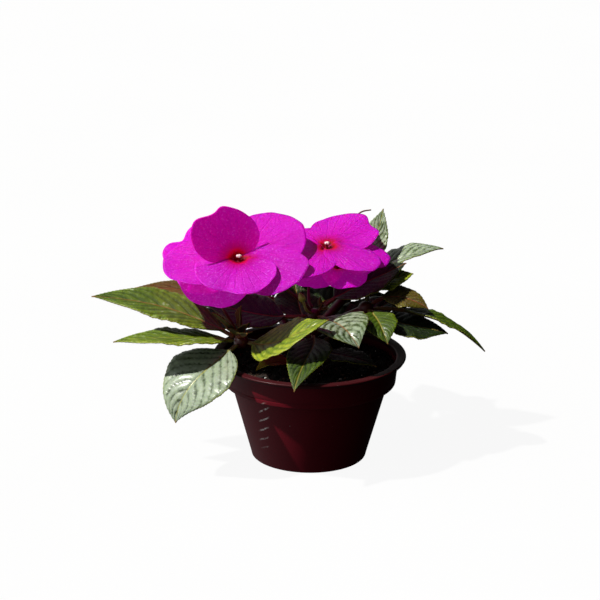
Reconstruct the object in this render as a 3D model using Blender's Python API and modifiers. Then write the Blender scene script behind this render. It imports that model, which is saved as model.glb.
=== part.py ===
"""A potted New Guinea impatiens: a plastic nursery pot, its soil, one branching stem, leaves and blooms.

Lengths are in millimetres and turned into metres where a mesh is made. The origin is the middle of the
pot's underside, +Z is up, and the side shown most often faces -Y. Azimuths are in degrees from +X
towards +Y, elevations in degrees above the horizontal.
"""
import math
from collections import namedtuple

import bmesh
import bpy
import numpy as np
from mathutils import Vector

MM = 0.001

# What touches in the real plant keeps this gap here.
GAP = 0.3

# The pot: outside radii and heights.
POT_HEIGHT = 58.0
LIP_RADIUS = 52.5
COLLAR_TOP_RADIUS = 48.2
COLLAR_FOOT_RADIUS = 47.0
COLLAR_FOOT_HEIGHT = 43.0
BODY_TOP_RADIUS = 42.3
BODY_FOOT_RADIUS = 32.0
BASE_RADIUS = 30.0
WALL = 1.1
BASE_THICKNESS = 1.4
POT_STEPS = 28
DRAIN_HOLES = 6
DRAIN_RADIUS = 4.0
DRAIN_CIRCLE = 22.0
DRAIN_TURN = 27.0

# The soil: its height at the wall and how far its lumps rise and fall.
SOIL_EDGE_HEIGHT = 51.5
SOIL_CROWN = 1.6
SOIL_LUMP = 0.7
SOIL_TOP_RINGS = 4

# The stem.
STEM_RADIUS = 3.6
STEM_FOOT_HEIGHT = 34.0
STEM_TAPER = 0.92
BRANCH_RADII = (3.0, 2.3)

# Leaves. A blade's outline is t to the first power times (1 - t) to the second. LEAF_REACH is the share of
# a leaf's length over which it keeps its first direction, FOLD_EASE is how much its fold flattens towards
# the rim, RIM_WAVE is how far the rim rises and falls, and WAVE_TURN how fast, in radians over its length.
BLADE_THICKNESS = 0.8
PETIOLE_HALF_WIDTH = 1.15
PETIOLE_THICKNESS = 2.2
PETIOLE_EDGE_SHARE = 0.6
RIB_SHARE = 0.35
LEAF_STATIONS = 7
LEAF_REACH = 0.38
TOOTH_DEPTH = 0.05
TOOTH_PLACE = 0.62
OUTLINE_FOOT = 0.74
OUTLINE_TIP = 1.08
FOLD_EASE = 0.45
RIM_WAVE = 0.6
WAVE_TURN = 19.0

# Young leaves round a growing point: how many, how far each is turned from the last, how much shorter it
# is, how far they lean out at their foot, middle and tip, and the sizes of the largest.
YOUNG_LEAVES = 3
YOUNG_TURN = 137.5
YOUNG_STEP = 2.0
YOUNG_LEANS = (0.9, 0.7, 0.4)
YOUNG_LENGTH = 15.0
YOUNG_WIDTH = 7.0
YOUNG_FOLD = 30
YOUNG_THICKNESS = 1.0
TIP_CORE_RADIUS = 1.8

# Blooms. A petal's outline runs out at PETAL_END_ANGLE from its middle, and the petal itself stops a
# little short of it. Its layer counts for LAYER_FOOT at the throat and grows by LAYER_GAIN to its end. The
# throat's ball sits THROAT_DEPTH behind the petals' plane.
PETAL_THICKNESS = 0.7
PETAL_HALF_ANGLE = 84.0
PETAL_END_ANGLE = 88.0
PETAL_FOOT = 1.2
NOTCH_WIDTH = 0.2
RIM_GAIN = 1.012
PETAL_WAVE = 0.5
PETAL_WAVE_TURN = 7.0
LAYER_FOOT = 0.6
LAYER_GAIN = 0.9
THROAT_RADIUS = 2.2
THROAT_DEPTH = 1.4
ANTHER_RADIUS = 1.15
ANTHER_SQUASH = 0.9
KNOB_RADIUS = 1.5
PEDICEL_RADIUS = 0.95
SPUR_RADII = (1.2, 0.55)
BUD_STALK_RADII = (0.9, 0.8)
BUD_SQUASH = 0.62

# The dropped leaf.
WITHERED_WIDTH = 12.0
WITHERED_WAVE = 0.8
WITHERED_STATIONS = 5

# Growing points and knots on the stem: place and radius. Leaves, pedicels and shoot tips start on them.
KNOTS = {
    "low": ((0.0, 0.0, 60.5), 3.8),
    "middle": ((1.0, -1.0, 69.5), 3.8),
    "centre": ((2.0, -1.0, 80.0), 4.0),
    "left": ((-37.0, -11.0, 68.0), 4.2),
    "right": ((30.0, 3.0, 83.0), 4.2),
    "back_left": ((-20.0, 25.0, 75.0), 4.0),
    "back_right": ((22.0, 31.0, 84.0), 4.2),
}

# The branches run through these points, in millimetres.
BRANCHES = (
    ("low", "middle", ()),
    ("middle", "centre", ()),
    ("low", "left", ((-18.0, -5.0, 62.5),)),
    ("middle", "right", ((15.0, 1.5, 76.0),)),
    ("low", "back_left", ((-10.0, 11.0, 66.0),)),
    ("middle", "back_right", ((10.0, 13.0, 75.0),)),
)

# A leaf starts on a knot in the direction (azimuth, elevation) leave, and its tip points along arrive.
# roll turns it about its own midrib, at the base and at the tip; positive lowers the side on the right
# of someone looking from base to tip. fold lifts both halves from the midrib into a V.
Leaf = namedtuple("Leaf", "name knot leave tip arrive width roll fold petiole")

LEAVES = (
    Leaf("leaf_left_long", "left", (170, 28), (-118, -6, 91), (183, 4), 31, (-8, -14), 12, 0.08),
    Leaf("leaf_left_low", "left", (203, 12), (-105, -27, 72.5), (183, -8), 28, (0, -4), 8, 0.06),
    Leaf("leaf_front_left", "left", (240, -10), (-71, -44, 33), (262, -78), 42, (0, -14), 6, 0.12),
    Leaf("leaf_front_middle", "left", (322, 2), (10, -38, 90), (22, 10), 31, (32, 30), 6, 0.06),
    Leaf("leaf_front_hanging", "middle", (278, 2), (-8, -63, 58.5), (258, -38), 23.5, (0, 0), 8, 0.08),
    Leaf("leaf_front_right", "centre", (303, 6), (26, -40, 75), (318, -50), 34, (0, 10), 14, 0.16),
    Leaf("leaf_right_short", "right", (292, 2), (41.5, -27, 73), (300, -52), 21, (0, 6), 12, 0.14),
    Leaf("leaf_right_dark", "right", (334, -20), (75, -1, 70.5), (350, -14), 30, (2, 4), 4, 0.12),
    Leaf("leaf_right_long", "right", (8, -2), (96, 6, 58), (350, -44), 22, (-4, -2), 12, 0.24),
    Leaf("leaf_right_olive", "right", (12, 34), (64, 0, 84), (340, -30), 21, (8, 8), 6, 0.2),
    Leaf("leaf_silver_low", "back_right", (8, 38), (73, 34, 108), (8, 0), 27, (-2, 0), 14, 0.16),
    Leaf("leaf_silver_high", "back_right", (30, 66), (39.5, 42, 128), (56, 76), 22, (20, 20), 12, 0.16),
    Leaf("leaf_centre_dark", "centre", (28, 34), (52, 16, 105), (20, 24), 30, (8, 12), 14, 0.18),
    Leaf("leaf_right_bright", "right", (82, 42), (56, 16, 99), (18, 10), 18, (-20, -26), 8, 0.3),
    Leaf("leaf_under_bloom", "centre", (190, -4), (-58, 5, 84), (176, 6), 29, (-20, -26), 12, 0.20),
    Leaf("leaf_soil_right", "low", (318, 2), (36, -21, 58), (330, -16), 22, (0, 0), 8, 0.18),
    Leaf("leaf_left_rear", "back_left", (176, 15), (-96, 16, 89), (186, 2), 23, (-6, -10), 10, 0.16),
    Leaf("leaf_inner_left", "back_left", (202, -10), (-68, 7, 74), (188, 4), 29, (-10, -14), 10, 0.14),
    Leaf("leaf_inner_right", "low", (24, 20), (50, 26, 82), (24, 14), 31, (14, 14), 10, 0.14),
    Leaf("leaf_inner_back", "middle", (122, 34), (-9, 34, 87), (104, 34), 30, (0, 0), 8, 0.14),
    Leaf("leaf_back_far_left", "back_left", (147, -8), (-80, 54, 62), (146, -38), 31, (0, 4), 10, 0.18),
    Leaf("leaf_back_left", "back_left", (114, 0), (-46, 88, 60), (108, -44), 33, (0, -4), 10, 0.15),
    Leaf("leaf_back_middle", "back_left", (76, 20), (-6, 82, 82), (86, -24), 29, (0, 4), 12, 0.16),
    Leaf("leaf_back_inner", "back_left", (26, -10), (23, 55, 76), (44, 2), 34, (14, 14), 8, 0.22),
    Leaf("leaf_back_low", "low", (78, -6), (4, 68, 62), (92, -20), 36, (0, 0), 8, 0.20),
    Leaf("leaf_back_right", "back_right", (92, 2), (24, 96, 66), (90, -42), 33, (0, 4), 10, 0.15),
    Leaf("leaf_back_far_right", "back_right", (50, -8), (62, 76, 62), (46, -44), 32, (0, 4), 12, 0.15),
    Leaf("leaf_back_side", "back_right", (20, -18), (66, 48, 56), (24, -46), 24, (4, 6), 12, 0.17),
    Leaf("leaf_back_upper", "back_left", (136, 32), (-54, 54, 99), (140, 0), 27, (0, 0), 12, 0.18),
    Leaf("leaf_back_top", "back_right", (162, 26), (-12, 62, 98), (128, -6), 26, (0, 0), 12, 0.16),
)

# A petal, in its bloom's own plane: azimuth from the plane's right, rise out of the plane at the throat,
# bend in degrees over its length, length, spread (the exponent of its outline: small is broad), roll,
# cup, its height in the layers of the bloom, how far its end swings to its left, how wide its left and
# right halves are, how deep its notch is as a share of its length, and where the notch is in radians.
Petal = namedtuple("Petal", "azimuth rise bend length spread roll cup layer swing left right notch lean",
                   defaults=(0.0, 1.0, 1.0, 0.05, 0.0))
# A bloom: throat, the way its face looks, and the way its pedicel and spur run (points).
Bloom = namedtuple("Bloom", "name throat facing petals knot pedicel spur")

BLOOMS = (
    Bloom("bloom_left_upper", (-38.5, -10.0, 114.0), (270, 70), (
        Petal(267, 0, -5, 34, 0.30, 0, 1.6, 2.4, 0, 0.90, 0.95, 0.10, -0.14),
        Petal(350, 3, -5, 38.0, 0.30, 9, 0.0, 1.3, 0, 0.44, 1.0, 0.0),
        Petal(38, 11, 2, 41.5, 0.50, 4, -1.0, -1.0, 0, 0.92, 0.8, 0.0),
        Petal(120, 63, 14, 33.3, 0.55, 0, 2.5, -1.1, 10, 1.18, 0.84, 0.12, 0.09),
        Petal(194, 0, -4, 41, 0.60, 4, 0.5, 0.6, 0, 0.84, 1.0, 0.0)),
        "centre", ((-4.5, -5.0, 89.0), (-12.0, -8.0, 96.0), (-20.0, -8.5, 102.0), (-30.0, -8.0, 106.5)),
        ((-38.0, 2.0, 107.0), (-36.0, 14.0, 111.0), (-34.0, 22.0, 117.0))),
    Bloom("bloom_left_lower", (-46.0, 6.0, 104.0), (266, 68), (
        Petal(257, -2, -8, 33, 0.42, 0, 1.5, 1.6, 0, 0.84, 1.0),
        Petal(338, -2, -4, 27, 0.56, 0, 0.5, 0.4),
        Petal(58, 0, 0, 28, 0.56, 0, 0.5, -0.8),
        Petal(136, 4, 2, 39, 0.56, 0, 1.0, -0.2, 0, 1.0, 1.1, 0.16, 0.06),
        Petal(203, 0, 0, 30, 0.60, 0, 0.0, 0.8)),
        "left", ((-43.0, -12.0, 80.0), (-48.0, -10.0, 89.0), (-47.0, 2.0, 95.0)),
        ((-49.0, 16.0, 96.0), (-52.0, 26.0, 98.0))),
    Bloom("bloom_right_upper", (8.5, 10.0, 115.5), (285, 76), (
        Petal(240, 0, -8, 36, 0.75, 0, -1.0, 1.0, 0, 0.72, 0.62, 0.0),
        Petal(326, 0, -12, 32.5, 0.95, 0, -3.0, 2.2, 0, 0.85, 0.80, 0.0),
        Petal(351, -2, -6, 35, 0.90, 0, 0.0, 0.2, 0, 0.72, 0.80, 0.0),
        Petal(55, 4, 2, 37, 0.60, -6, -1.5, 0.6, 0, 0.95, 0.86, 0.12, -0.28),
        Petal(152, 0, -4, 25, 0.70, 0, 0.5, -0.6, 0, 1.0, 1.05, 0.0)),
        "back_right", ((16.0, 42.0, 98.0), (13.0, 43.0, 111.0), (9.0, 30.0, 115.5), (8.0, 18.0, 112.5)),
        ((13.0, 22.0, 113.5), (20.0, 38.0, 120.0), (27.0, 42.5, 125.5), (33.0, 43.0, 127.0))),
    Bloom("bloom_right_lower", (14.5, 9.0, 105.0), (276, 72), (
        Petal(226, -2, -6, 28, 0.60, 0, 1.0, 1.0, 0, 0.62, 1.0, 0.10, 0.2),
        Petal(286, -2, -8, 22, 0.50, 0, -1.0, 1.8, 0, 1.0, 0.80),
        Petal(20, -6, 0, 20, 0.70, 0, 0.0, 0.2),
        Petal(88, -10, 0, 23, 0.70, 0, 0.0, -0.8),
        Petal(162, -6, 0, 26, 0.70, 0, 0.0, -0.2)),
        "centre", ((-1.0, 3.0, 88.0), (0.0, 8.0, 96.5), (8.0, 11.0, 99.5)),
        ((17.0, 17.0, 100.5), (20.0, 27.0, 102.5))),
)

# Buds: the knot that each grows from, the points of its pedicel and its length.
BUDS = (
    ("bud_front", "centre", ((-2.0, -10.0, 86.0), (-4.0, -13.0, 92.0)), 6.5),
    ("bud_back", "back_right", ((30.0, 40.0, 92.0), (38.0, 56.0, 100.0)), 10.0),
    ("bud_left_back", "back_left", ((-25.0, 27.0, 86.0), (-30.0, 30.0, 95.0)), 8.0),
)

# Shoot tips: knot, the way they point, and their size as a share of the largest.
SHOOT_TIPS = (
    ("centre", 335, 48, 0.5),
    ("left", 262, 50, 1.45),
    ("back_left", 110, 60, 0.7),
    ("back_right", 320, 40, 0.6),
)

# The dropped leaf lies on the soil between these points.
WITHERED_FOOT = (-8.5, -9.0)
WITHERED_TIP = (-29.0, -20.0)

# Colours as linear red, green, blue.
POT_COLOUR = (0.045, 0.006, 0.012)
SOIL_COLOUR = (0.012, 0.008, 0.006)
STEM_COLOUR = (0.16, 0.02, 0.025)
LEAF_COLOUR = (0.02, 0.07, 0.012)
YOUNG_COLOUR = (0.14, 0.07, 0.015)
PETAL_COLOUR = (0.62, 0.0, 0.48)
ANTHER_COLOUR = (0.8, 0.5, 0.55)
WITHERED_COLOUR = (0.35, 0.12, 0.01)


def clear_scene():
    for thing in list(bpy.data.objects):
        bpy.data.objects.remove(thing, do_unlink=True)


def new_collection(name):
    group = bpy.data.collections.new(name)
    bpy.context.scene.collection.children.link(group)
    return group


def new_material(name, colour, roughness):
    material = bpy.data.materials.new(name)
    material.use_nodes = True
    shader = material.node_tree.nodes["Principled BSDF"]
    shader.inputs["Base Color"].default_value = (*colour, 1.0)
    shader.inputs["Roughness"].default_value = roughness
    shader.inputs["Metallic"].default_value = 0.0
    return material


def new_object(name, mesh, group, material):
    mesh.materials.clear()
    mesh.materials.append(material)
    thing = bpy.data.objects.new(name, mesh)
    group.objects.link(thing)
    return thing


def mesh_from(name, points, faces):
    """A triangulated mesh of points in millimetres."""
    mesh = bpy.data.meshes.new(name)
    mesh.from_pydata([tuple(float(c) * MM for c in p) for p in points], [], faces)
    work = bmesh.new()
    work.from_mesh(mesh)
    bmesh.ops.triangulate(work, faces=work.faces)
    work.to_mesh(mesh)
    work.free()
    return mesh


def direction(azimuth, elevation):
    a = math.radians(azimuth)
    e = math.radians(elevation)
    return np.array((math.cos(a) * math.cos(e), math.sin(a) * math.cos(e), math.sin(e)))


def unit(v):
    return v / np.linalg.norm(v)


def bezier(p0, p1, p2, p3, s):
    r = 1.0 - s
    return r ** 3 * p0 + 3 * r * r * s * p1 + 3 * r * s * s * p2 + s ** 3 * p3


def turn(v, axis, angle):
    """v turned about a unit axis it stands square to."""
    return v * math.cos(angle) + np.cross(axis, v) * math.sin(angle)


def bake(thing):
    """The object's evaluated mesh in its place, with its modifiers used up."""
    bpy.context.view_layer.update()
    done = thing.evaluated_get(bpy.context.evaluated_depsgraph_get())
    mesh = bpy.data.meshes.new_from_object(done)
    thing.modifiers.clear()
    thing.data = mesh
    return thing


def weld(mesh):
    work = bmesh.new()
    work.from_mesh(mesh)
    bmesh.ops.remove_doubles(work, verts=work.verts, dist=0.00001)
    bmesh.ops.recalc_face_normals(work, faces=work.faces)
    work.to_mesh(mesh)
    work.free()


def join_as_one(first, others, solver="EXACT"):
    """One Boolean union of an object with the others, which are then removed."""
    if not others:
        return first
    group = new_collection(first.name + "_pieces")
    for piece in others:
        for owner in list(piece.users_collection):
            owner.objects.unlink(piece)
        group.objects.link(piece)
    union = first.modifiers.new("union", "BOOLEAN")
    union.operation = "UNION"
    union.operand_type = "COLLECTION"
    union.collection = group
    union.solver = solver
    bake(first)
    for piece in others:
        bpy.data.objects.remove(piece, do_unlink=True)
    bpy.data.collections.remove(group)
    return first


def rod(name, points, radii, group, material, resolution=1, per_span=3):
    """A round rod through points in millimetres, as a closed mesh."""
    curve = bpy.data.curves.new(name, "CURVE")
    curve.dimensions = "3D"
    curve.bevel_depth = MM
    curve.bevel_resolution = resolution
    curve.use_fill_caps = True
    fine = smooth_path(points, per_span)
    spline = curve.splines.new("POLY")
    spline.points.add(len(fine) - 1)
    for i, p in enumerate(fine):
        share = i / (len(fine) - 1)
        spline.points[i].co = (*(p * MM), 1.0)
        spline.points[i].radius = radii[0] + (radii[1] - radii[0]) * share
    thing = bpy.data.objects.new(name, curve)
    group.objects.link(thing)
    bpy.context.view_layer.update()
    done = thing.evaluated_get(bpy.context.evaluated_depsgraph_get())
    mesh = bpy.data.meshes.new_from_object(done)
    bpy.data.objects.remove(thing, do_unlink=True)
    weld(mesh)
    return new_object(name, mesh, group, material)


def smooth_path(points, per_span):
    """Points of a smooth curve through the given ones."""
    given = [np.array(p, float) for p in points]
    ends = [2 * given[0] - given[1]] + given + [2 * given[-1] - given[-2]]
    path = []
    for i in range(1, len(ends) - 2):
        p0, p1, p2, p3 = ends[i - 1], ends[i], ends[i + 1], ends[i + 2]
        for k in range(per_span):
            t = k / per_span
            path.append(0.5 * (2 * p1 + (p2 - p0) * t + (2 * p0 - 5 * p1 + 4 * p2 - p3) * t * t
                               + (3 * p1 - 3 * p2 + p3 - p0) * t ** 3))
    path.append(given[-1])
    return np.array(path)


def ball(name, centre, radius, group, material, squash=1.0, segments=8, rings=6):
    mesh = bpy.data.meshes.new(name)
    work = bmesh.new()
    bmesh.ops.create_uvsphere(work, u_segments=segments, v_segments=rings, radius=radius * MM)
    bmesh.ops.scale(work, vec=(1, 1, squash), verts=work.verts)
    bmesh.ops.translate(work, vec=Vector(centre) * MM, verts=work.verts)
    work.to_mesh(mesh)
    work.free()
    return new_object(name, mesh, group, material)


def inner_profile():
    """The pot's inside, from the axis outwards and up: radius, height."""
    return [
        (0.0, BASE_THICKNESS),
        (BASE_RADIUS - WALL, BASE_THICKNESS),
        (BODY_FOOT_RADIUS - WALL, 3.6),
        (BODY_TOP_RADIUS - WALL, COLLAR_FOOT_HEIGHT - 1.0),
        (BODY_TOP_RADIUS - 0.3, COLLAR_FOOT_HEIGHT),
        (COLLAR_FOOT_RADIUS - WALL, COLLAR_FOOT_HEIGHT + 0.8),
        (COLLAR_TOP_RADIUS - WALL, POT_HEIGHT - 1.2),
    ]


def outer_profile():
    """The pot's outside, from the lip down to the axis: radius, height."""
    return [
        (COLLAR_TOP_RADIUS - WALL + 0.8, POT_HEIGHT - 0.2),
        (LIP_RADIUS - 0.6, POT_HEIGHT),
        (LIP_RADIUS, POT_HEIGHT - 0.5),
        (LIP_RADIUS, POT_HEIGHT - 1.6),
        (COLLAR_TOP_RADIUS + 1.2, POT_HEIGHT - 2.2),
        (COLLAR_TOP_RADIUS, POT_HEIGHT - 3.2),
        (COLLAR_FOOT_RADIUS, COLLAR_FOOT_HEIGHT + 0.4),
        (COLLAR_FOOT_RADIUS - 0.5, COLLAR_FOOT_HEIGHT - 0.6),
        (BODY_TOP_RADIUS + 0.3, COLLAR_FOOT_HEIGHT - 1.4),
        (BODY_TOP_RADIUS, COLLAR_FOOT_HEIGHT - 2.4),
        (BODY_FOOT_RADIUS, 3.0),
        (BASE_RADIUS + 1.1, 0.8),
        (BASE_RADIUS, 0.0),
        (0.0, 0.0),
    ]


def turned(name, profile, group, material):
    """A body turned about Z from a closed profile that runs down its outer side."""
    mesh = bpy.data.meshes.new(name)
    edges = [(i, i + 1) for i in range(len(profile) - 1)]
    mesh.from_pydata([(r * MM, 0.0, z * MM) for r, z in profile], edges, [])
    thing = new_object(name, mesh, group, material)
    screw = thing.modifiers.new("turn", "SCREW")
    screw.steps = POT_STEPS
    screw.render_steps = POT_STEPS
    screw.use_merge_vertices = True
    screw.merge_threshold = 0.00001
    screw.use_smooth_shade = False
    bake(thing)
    weld(thing.data)
    return thing


def make_pot(group, cutters, material):
    pot = turned("pot", inner_profile() + outer_profile(), group, material)
    for k in range(DRAIN_HOLES):
        angle = math.radians(k * 360.0 / DRAIN_HOLES + DRAIN_TURN)
        mesh = bpy.data.meshes.new("drain_cutter")
        work = bmesh.new()
        bmesh.ops.create_cone(work, cap_ends=True, segments=12, radius1=DRAIN_RADIUS * MM,
                              radius2=DRAIN_RADIUS * MM, depth=8.0 * MM)
        work.to_mesh(mesh)
        work.free()
        cutter = bpy.data.objects.new(f"drain_cutter_{k}", mesh)
        cutter.location = (DRAIN_CIRCLE * math.cos(angle) * MM, DRAIN_CIRCLE * math.sin(angle) * MM, 0.0)
        cutter.hide_render = True
        cutter.display_type = "WIRE"
        cutters.objects.link(cutter)
        cut = pot.modifiers.new("drain", "BOOLEAN")
        cut.operation = "DIFFERENCE"
        cut.object = cutter
    return pot


def soil_height(x, y):
    """The soil's surface: a low crown with lumps."""
    r = math.hypot(x, y) / COLLAR_TOP_RADIUS
    lumps = (math.sin(0.31 * x + 1.3) * math.cos(0.27 * y - 0.4) + 0.6 * math.sin(0.53 * y + 0.21 * x)
             + 0.5 * math.cos(0.61 * x - 0.37 * y + 2.0))
    return SOIL_EDGE_HEIGHT + SOIL_CROWN * (1.0 - r * r) + SOIL_LUMP * lumps * min(1.0, 3.0 * (1.0 - r))


def make_soil(group, cutters, material):
    inside = [(max(0.0, r - GAP), z + GAP) for r, z in inner_profile()[:-1]]
    share = (SOIL_EDGE_HEIGHT - COLLAR_FOOT_HEIGHT) / (POT_HEIGHT - COLLAR_FOOT_HEIGHT)
    edge = COLLAR_FOOT_RADIUS + (COLLAR_TOP_RADIUS - COLLAR_FOOT_RADIUS) * share - WALL - 2 * GAP
    top = [(edge * (1.0 - k / SOIL_TOP_RINGS), SOIL_EDGE_HEIGHT) for k in range(SOIL_TOP_RINGS + 1)]
    soil = turned("soil", inside + top, group, material)
    for vertex in soil.data.vertices:
        x, y, z = vertex.co / MM
        if z > SOIL_EDGE_HEIGHT - 0.1 and math.hypot(x, y) < edge - 0.5:
            vertex.co.z = soil_height(x, y) * MM
    mesh = bpy.data.meshes.new("stem_hole")
    work = bmesh.new()
    radius = (STEM_RADIUS + GAP + 0.15) * MM
    bmesh.ops.create_cone(work, cap_ends=True, segments=16, radius1=radius, radius2=radius, depth=40.0 * MM)
    work.to_mesh(mesh)
    work.free()
    cutter = bpy.data.objects.new("stem_hole", mesh)
    cutter.location = (0.0, 0.0, (STEM_FOOT_HEIGHT - GAP + 20.0) * MM)
    cutter.hide_render = True
    cutter.display_type = "WIRE"
    cutters.objects.link(cutter)
    cut = soil.modifiers.new("stem_hole", "BOOLEAN")
    cut.operation = "DIFFERENCE"
    cut.object = cutter
    return soil


def make_stem(group, material):
    low = KNOTS["low"][0]
    stem = rod("branched_stem", ((0, 0, STEM_FOOT_HEIGHT), (0, 0, 46), low),
               (STEM_RADIUS, STEM_RADIUS * STEM_TAPER), group, material, resolution=2, per_span=2)
    pieces = []
    for start, end, between in BRANCHES:
        path = (KNOTS[start][0], *between, KNOTS[end][0])
        pieces.append(rod(f"branch_{end}", path, BRANCH_RADII, group, material))
    for name, (centre, radius) in KNOTS.items():
        pieces.append(ball(f"knot_{name}", centre, radius, group, material))
    return join_as_one(stem, pieces)


def leaf_spine(base, leave, tip, arrive):
    """The four control points of a leaf's midrib."""
    reach = np.linalg.norm(tip - base) * LEAF_REACH
    return base, base + leave * reach, tip - arrive * reach, tip


def leaf_frames(spine, roll, count=40):
    """Places, tangents and normals along a midrib, the normals carried along without needless turning."""
    places = np.array([bezier(*spine, i / count) for i in range(count + 1)])
    tangents = np.gradient(places, axis=0)
    tangents /= np.linalg.norm(tangents, axis=1)[:, None]
    up = np.array((0.0, 0.0, 1.0))
    normal = unit(up - tangents[0] * tangents[0][2])
    frames = []
    for i, (place, tangent) in enumerate(zip(places, tangents)):
        normal = unit(normal - tangent * float(normal @ tangent))
        angle = math.radians(roll[0] + (roll[1] - roll[0]) * i / count)
        frames.append((place, tangent, turn(normal, tangent, angle)))
    return frames


def frame_at(frames, s):
    where = min(max(s, 0.0), 1.0) * (len(frames) - 1)
    i = min(int(where), len(frames) - 2)
    f = where - i
    place, tangent, normal = (a * (1 - f) + b * f for a, b in zip(frames[i], frames[i + 1]))
    tangent = unit(tangent)
    normal = unit(normal - tangent * float(normal @ tangent))
    return place, tangent, normal


def blade_outline(t):
    """Half width of a blade as a share of its widest, t from its foot to its drawn-out tip."""
    t = min(max(t, 0.0), 1.0)
    peak = OUTLINE_FOOT / (OUTLINE_FOOT + OUTLINE_TIP)
    widest = peak ** OUTLINE_FOOT * (1.0 - peak) ** OUTLINE_TIP
    return t ** OUTLINE_FOOT * (1.0 - t) ** OUTLINE_TIP / widest


def leaf_sheet(frames, width, fold, petiole, stations, teeth=TOOTH_DEPTH, wave=RIM_WAVE, phase=0.0):
    """Points, faces and thickness shares of a leaf's middle surface."""
    points = []
    shares = []
    blade_share = BLADE_THICKNESS / PETIOLE_THICKNESS
    tan_fold = math.tan(math.radians(fold))

    def add(s, v, scale=1.0, share=None):
        place, tangent, normal = frame_at(frames, s)
        side = np.cross(tangent, normal)
        t = (s - petiole) / (1.0 - petiole)
        half = PETIOLE_HALF_WIDTH
        if t > 0.0:
            half = max(half * (1.0 - t), 0.5 * width * blade_outline(t) * scale)
        u = v * half
        spread = abs(u) / (0.5 * width)
        lift = abs(u) * tan_fold * (1.0 - FOLD_EASE * spread)
        lift += wave * spread * spread * math.sin(WAVE_TURN * s + phase + 1.7 * (v > 0))
        points.append(place + side * u / math.sqrt(1.0 + tan_fold ** 2) + normal * lift)
        shares.append(blade_share if share is None else share)
        return len(points) - 1

    faces = []
    petiole_rows = []
    for k in range(3):
        s = petiole * k / 2.0
        left = add(s, -1.0, share=PETIOLE_EDGE_SHARE)
        rib = add(s, 0.0, share=1.0)
        petiole_rows.append((left, rib, add(s, 1.0, share=PETIOLE_EDGE_SHARE)))
    for a, b in zip(petiole_rows, petiole_rows[1:]):
        faces += [(a[0], a[1], b[1], b[0]), (a[1], a[2], b[2], b[1])]
    left, rib, right = petiole_rows[-1]
    rows = [((left, None), rib, (right, None))]
    for k in range(1, stations):
        t = k / stations
        s = petiole + (1.0 - petiole) * t
        rib_share = blade_share + RIB_SHARE * (1.0 - t)
        rows.append(((add(s, -1.0), add(s, -0.5)), add(s, 0.0, share=rib_share), (add(s, 1.0), add(s, 0.5))))
    tip = add(1.0, 0.0)
    for k in range(stations):
        t = (k + TOOTH_PLACE) / stations
        s = petiole + (1.0 - petiole) * t
        below = rows[k]
        above = rows[k + 1] if k + 1 < stations else None
        for side, sign in ((0, -1.0), (2, 1.0)):
            notch = add(s, sign, scale=1.0 - teeth * 2.0)
            edge0, mid0 = below[side]
            rib0 = below[1]
            if above is None:
                outer = [edge0, mid0, tip, notch]
                inner = [mid0, rib0, tip]
            else:
                edge1, mid1 = above[side]
                rib1 = above[1]
                if mid0 is None:
                    outer = [edge0, rib0, mid1, edge1, notch]
                    inner = [rib0, rib1, mid1]
                else:
                    outer = [edge0, mid0, mid1, edge1, notch]
                    inner = [mid0, rib0, rib1, mid1]
            for face in (outer, inner):
                faces.append(tuple(face) if sign < 0 else tuple(reversed(face)))
    return points, faces, shares


def thick_sheet(name, points, faces, thickness, group, material, shares=None):
    """A sheet given its thickness evenly to both sides."""
    thing = new_object(name, mesh_from(name, points, faces), group, material)
    solid = thing.modifiers.new("thickness", "SOLIDIFY")
    solid.thickness = thickness * MM
    solid.offset = 0.0
    if shares is not None:
        weights = thing.vertex_groups.new(name="thickness")
        for i, share in enumerate(shares):
            weights.add([i], share, "REPLACE")
        solid.vertex_group = "thickness"
    return thing


def knot_seat(knot, way, extra=GAP):
    """The point just off a knot's surface in the given direction."""
    centre, radius = KNOTS[knot]
    return np.array(centre) + way * (radius + extra)


def make_leaf(leaf, phase, group, material):
    leave = direction(*leaf.leave)
    base = knot_seat(leaf.knot, leave)
    spine = leaf_spine(base, leave, np.array(leaf.tip, float), direction(*leaf.arrive))
    frames = leaf_frames(spine, leaf.roll)
    sheet = leaf_sheet(frames, leaf.width, leaf.fold, leaf.petiole, LEAF_STATIONS, phase=phase)
    return thick_sheet(leaf.name, sheet[0], sheet[1], PETIOLE_THICKNESS, group, material, sheet[2])


def make_shoot_tip(knot, azimuth, elevation, size, group, material):
    """The young leaves round a growing point, joined at a small core."""
    way = direction(azimuth, elevation)
    core_radius = TIP_CORE_RADIUS * size
    core_centre = knot_seat(knot, way, GAP + core_radius)
    core = ball(f"shoot_tip_{knot}", core_centre, core_radius, group, material, segments=6, rings=5)
    aside = unit(np.cross(way, (0.3, 1.0, 0.2)))
    young = []
    for k in range(YOUNG_LEAVES):
        outward = turn(aside, way, math.radians(YOUNG_TURN * k))
        length = (YOUNG_LENGTH - YOUNG_STEP * k) * size
        foot, middle, end = YOUNG_LEANS
        start = unit(way + outward * foot)
        base = core_centre + start * 0.4
        tip = base + unit(way + outward * (middle - 0.1 * k)) * length
        spine = leaf_spine(base, start, tip, unit(way + outward * end))
        frames = leaf_frames(spine, (0, 0), 12)
        sheet = leaf_sheet(frames, YOUNG_WIDTH * size, YOUNG_FOLD, 0.16, 2, teeth=0.0, wave=0.0)
        thickness = YOUNG_THICKNESS * (0.5 + 0.5 * size)
        leaf = thick_sheet(f"young_{knot}_{k}", sheet[0], sheet[1], thickness, group, material)
        young.append(bake(leaf))
    return join_as_one(core, young)


def bloom_frame(bloom):
    """The throat, and the right, upper and outward directions of the bloom's plane."""
    facing = direction(*bloom.facing)
    right = unit(np.cross((0.0, 1.0, 0.0), facing))
    return np.array(bloom.throat), right, np.cross(facing, right), facing


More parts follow.
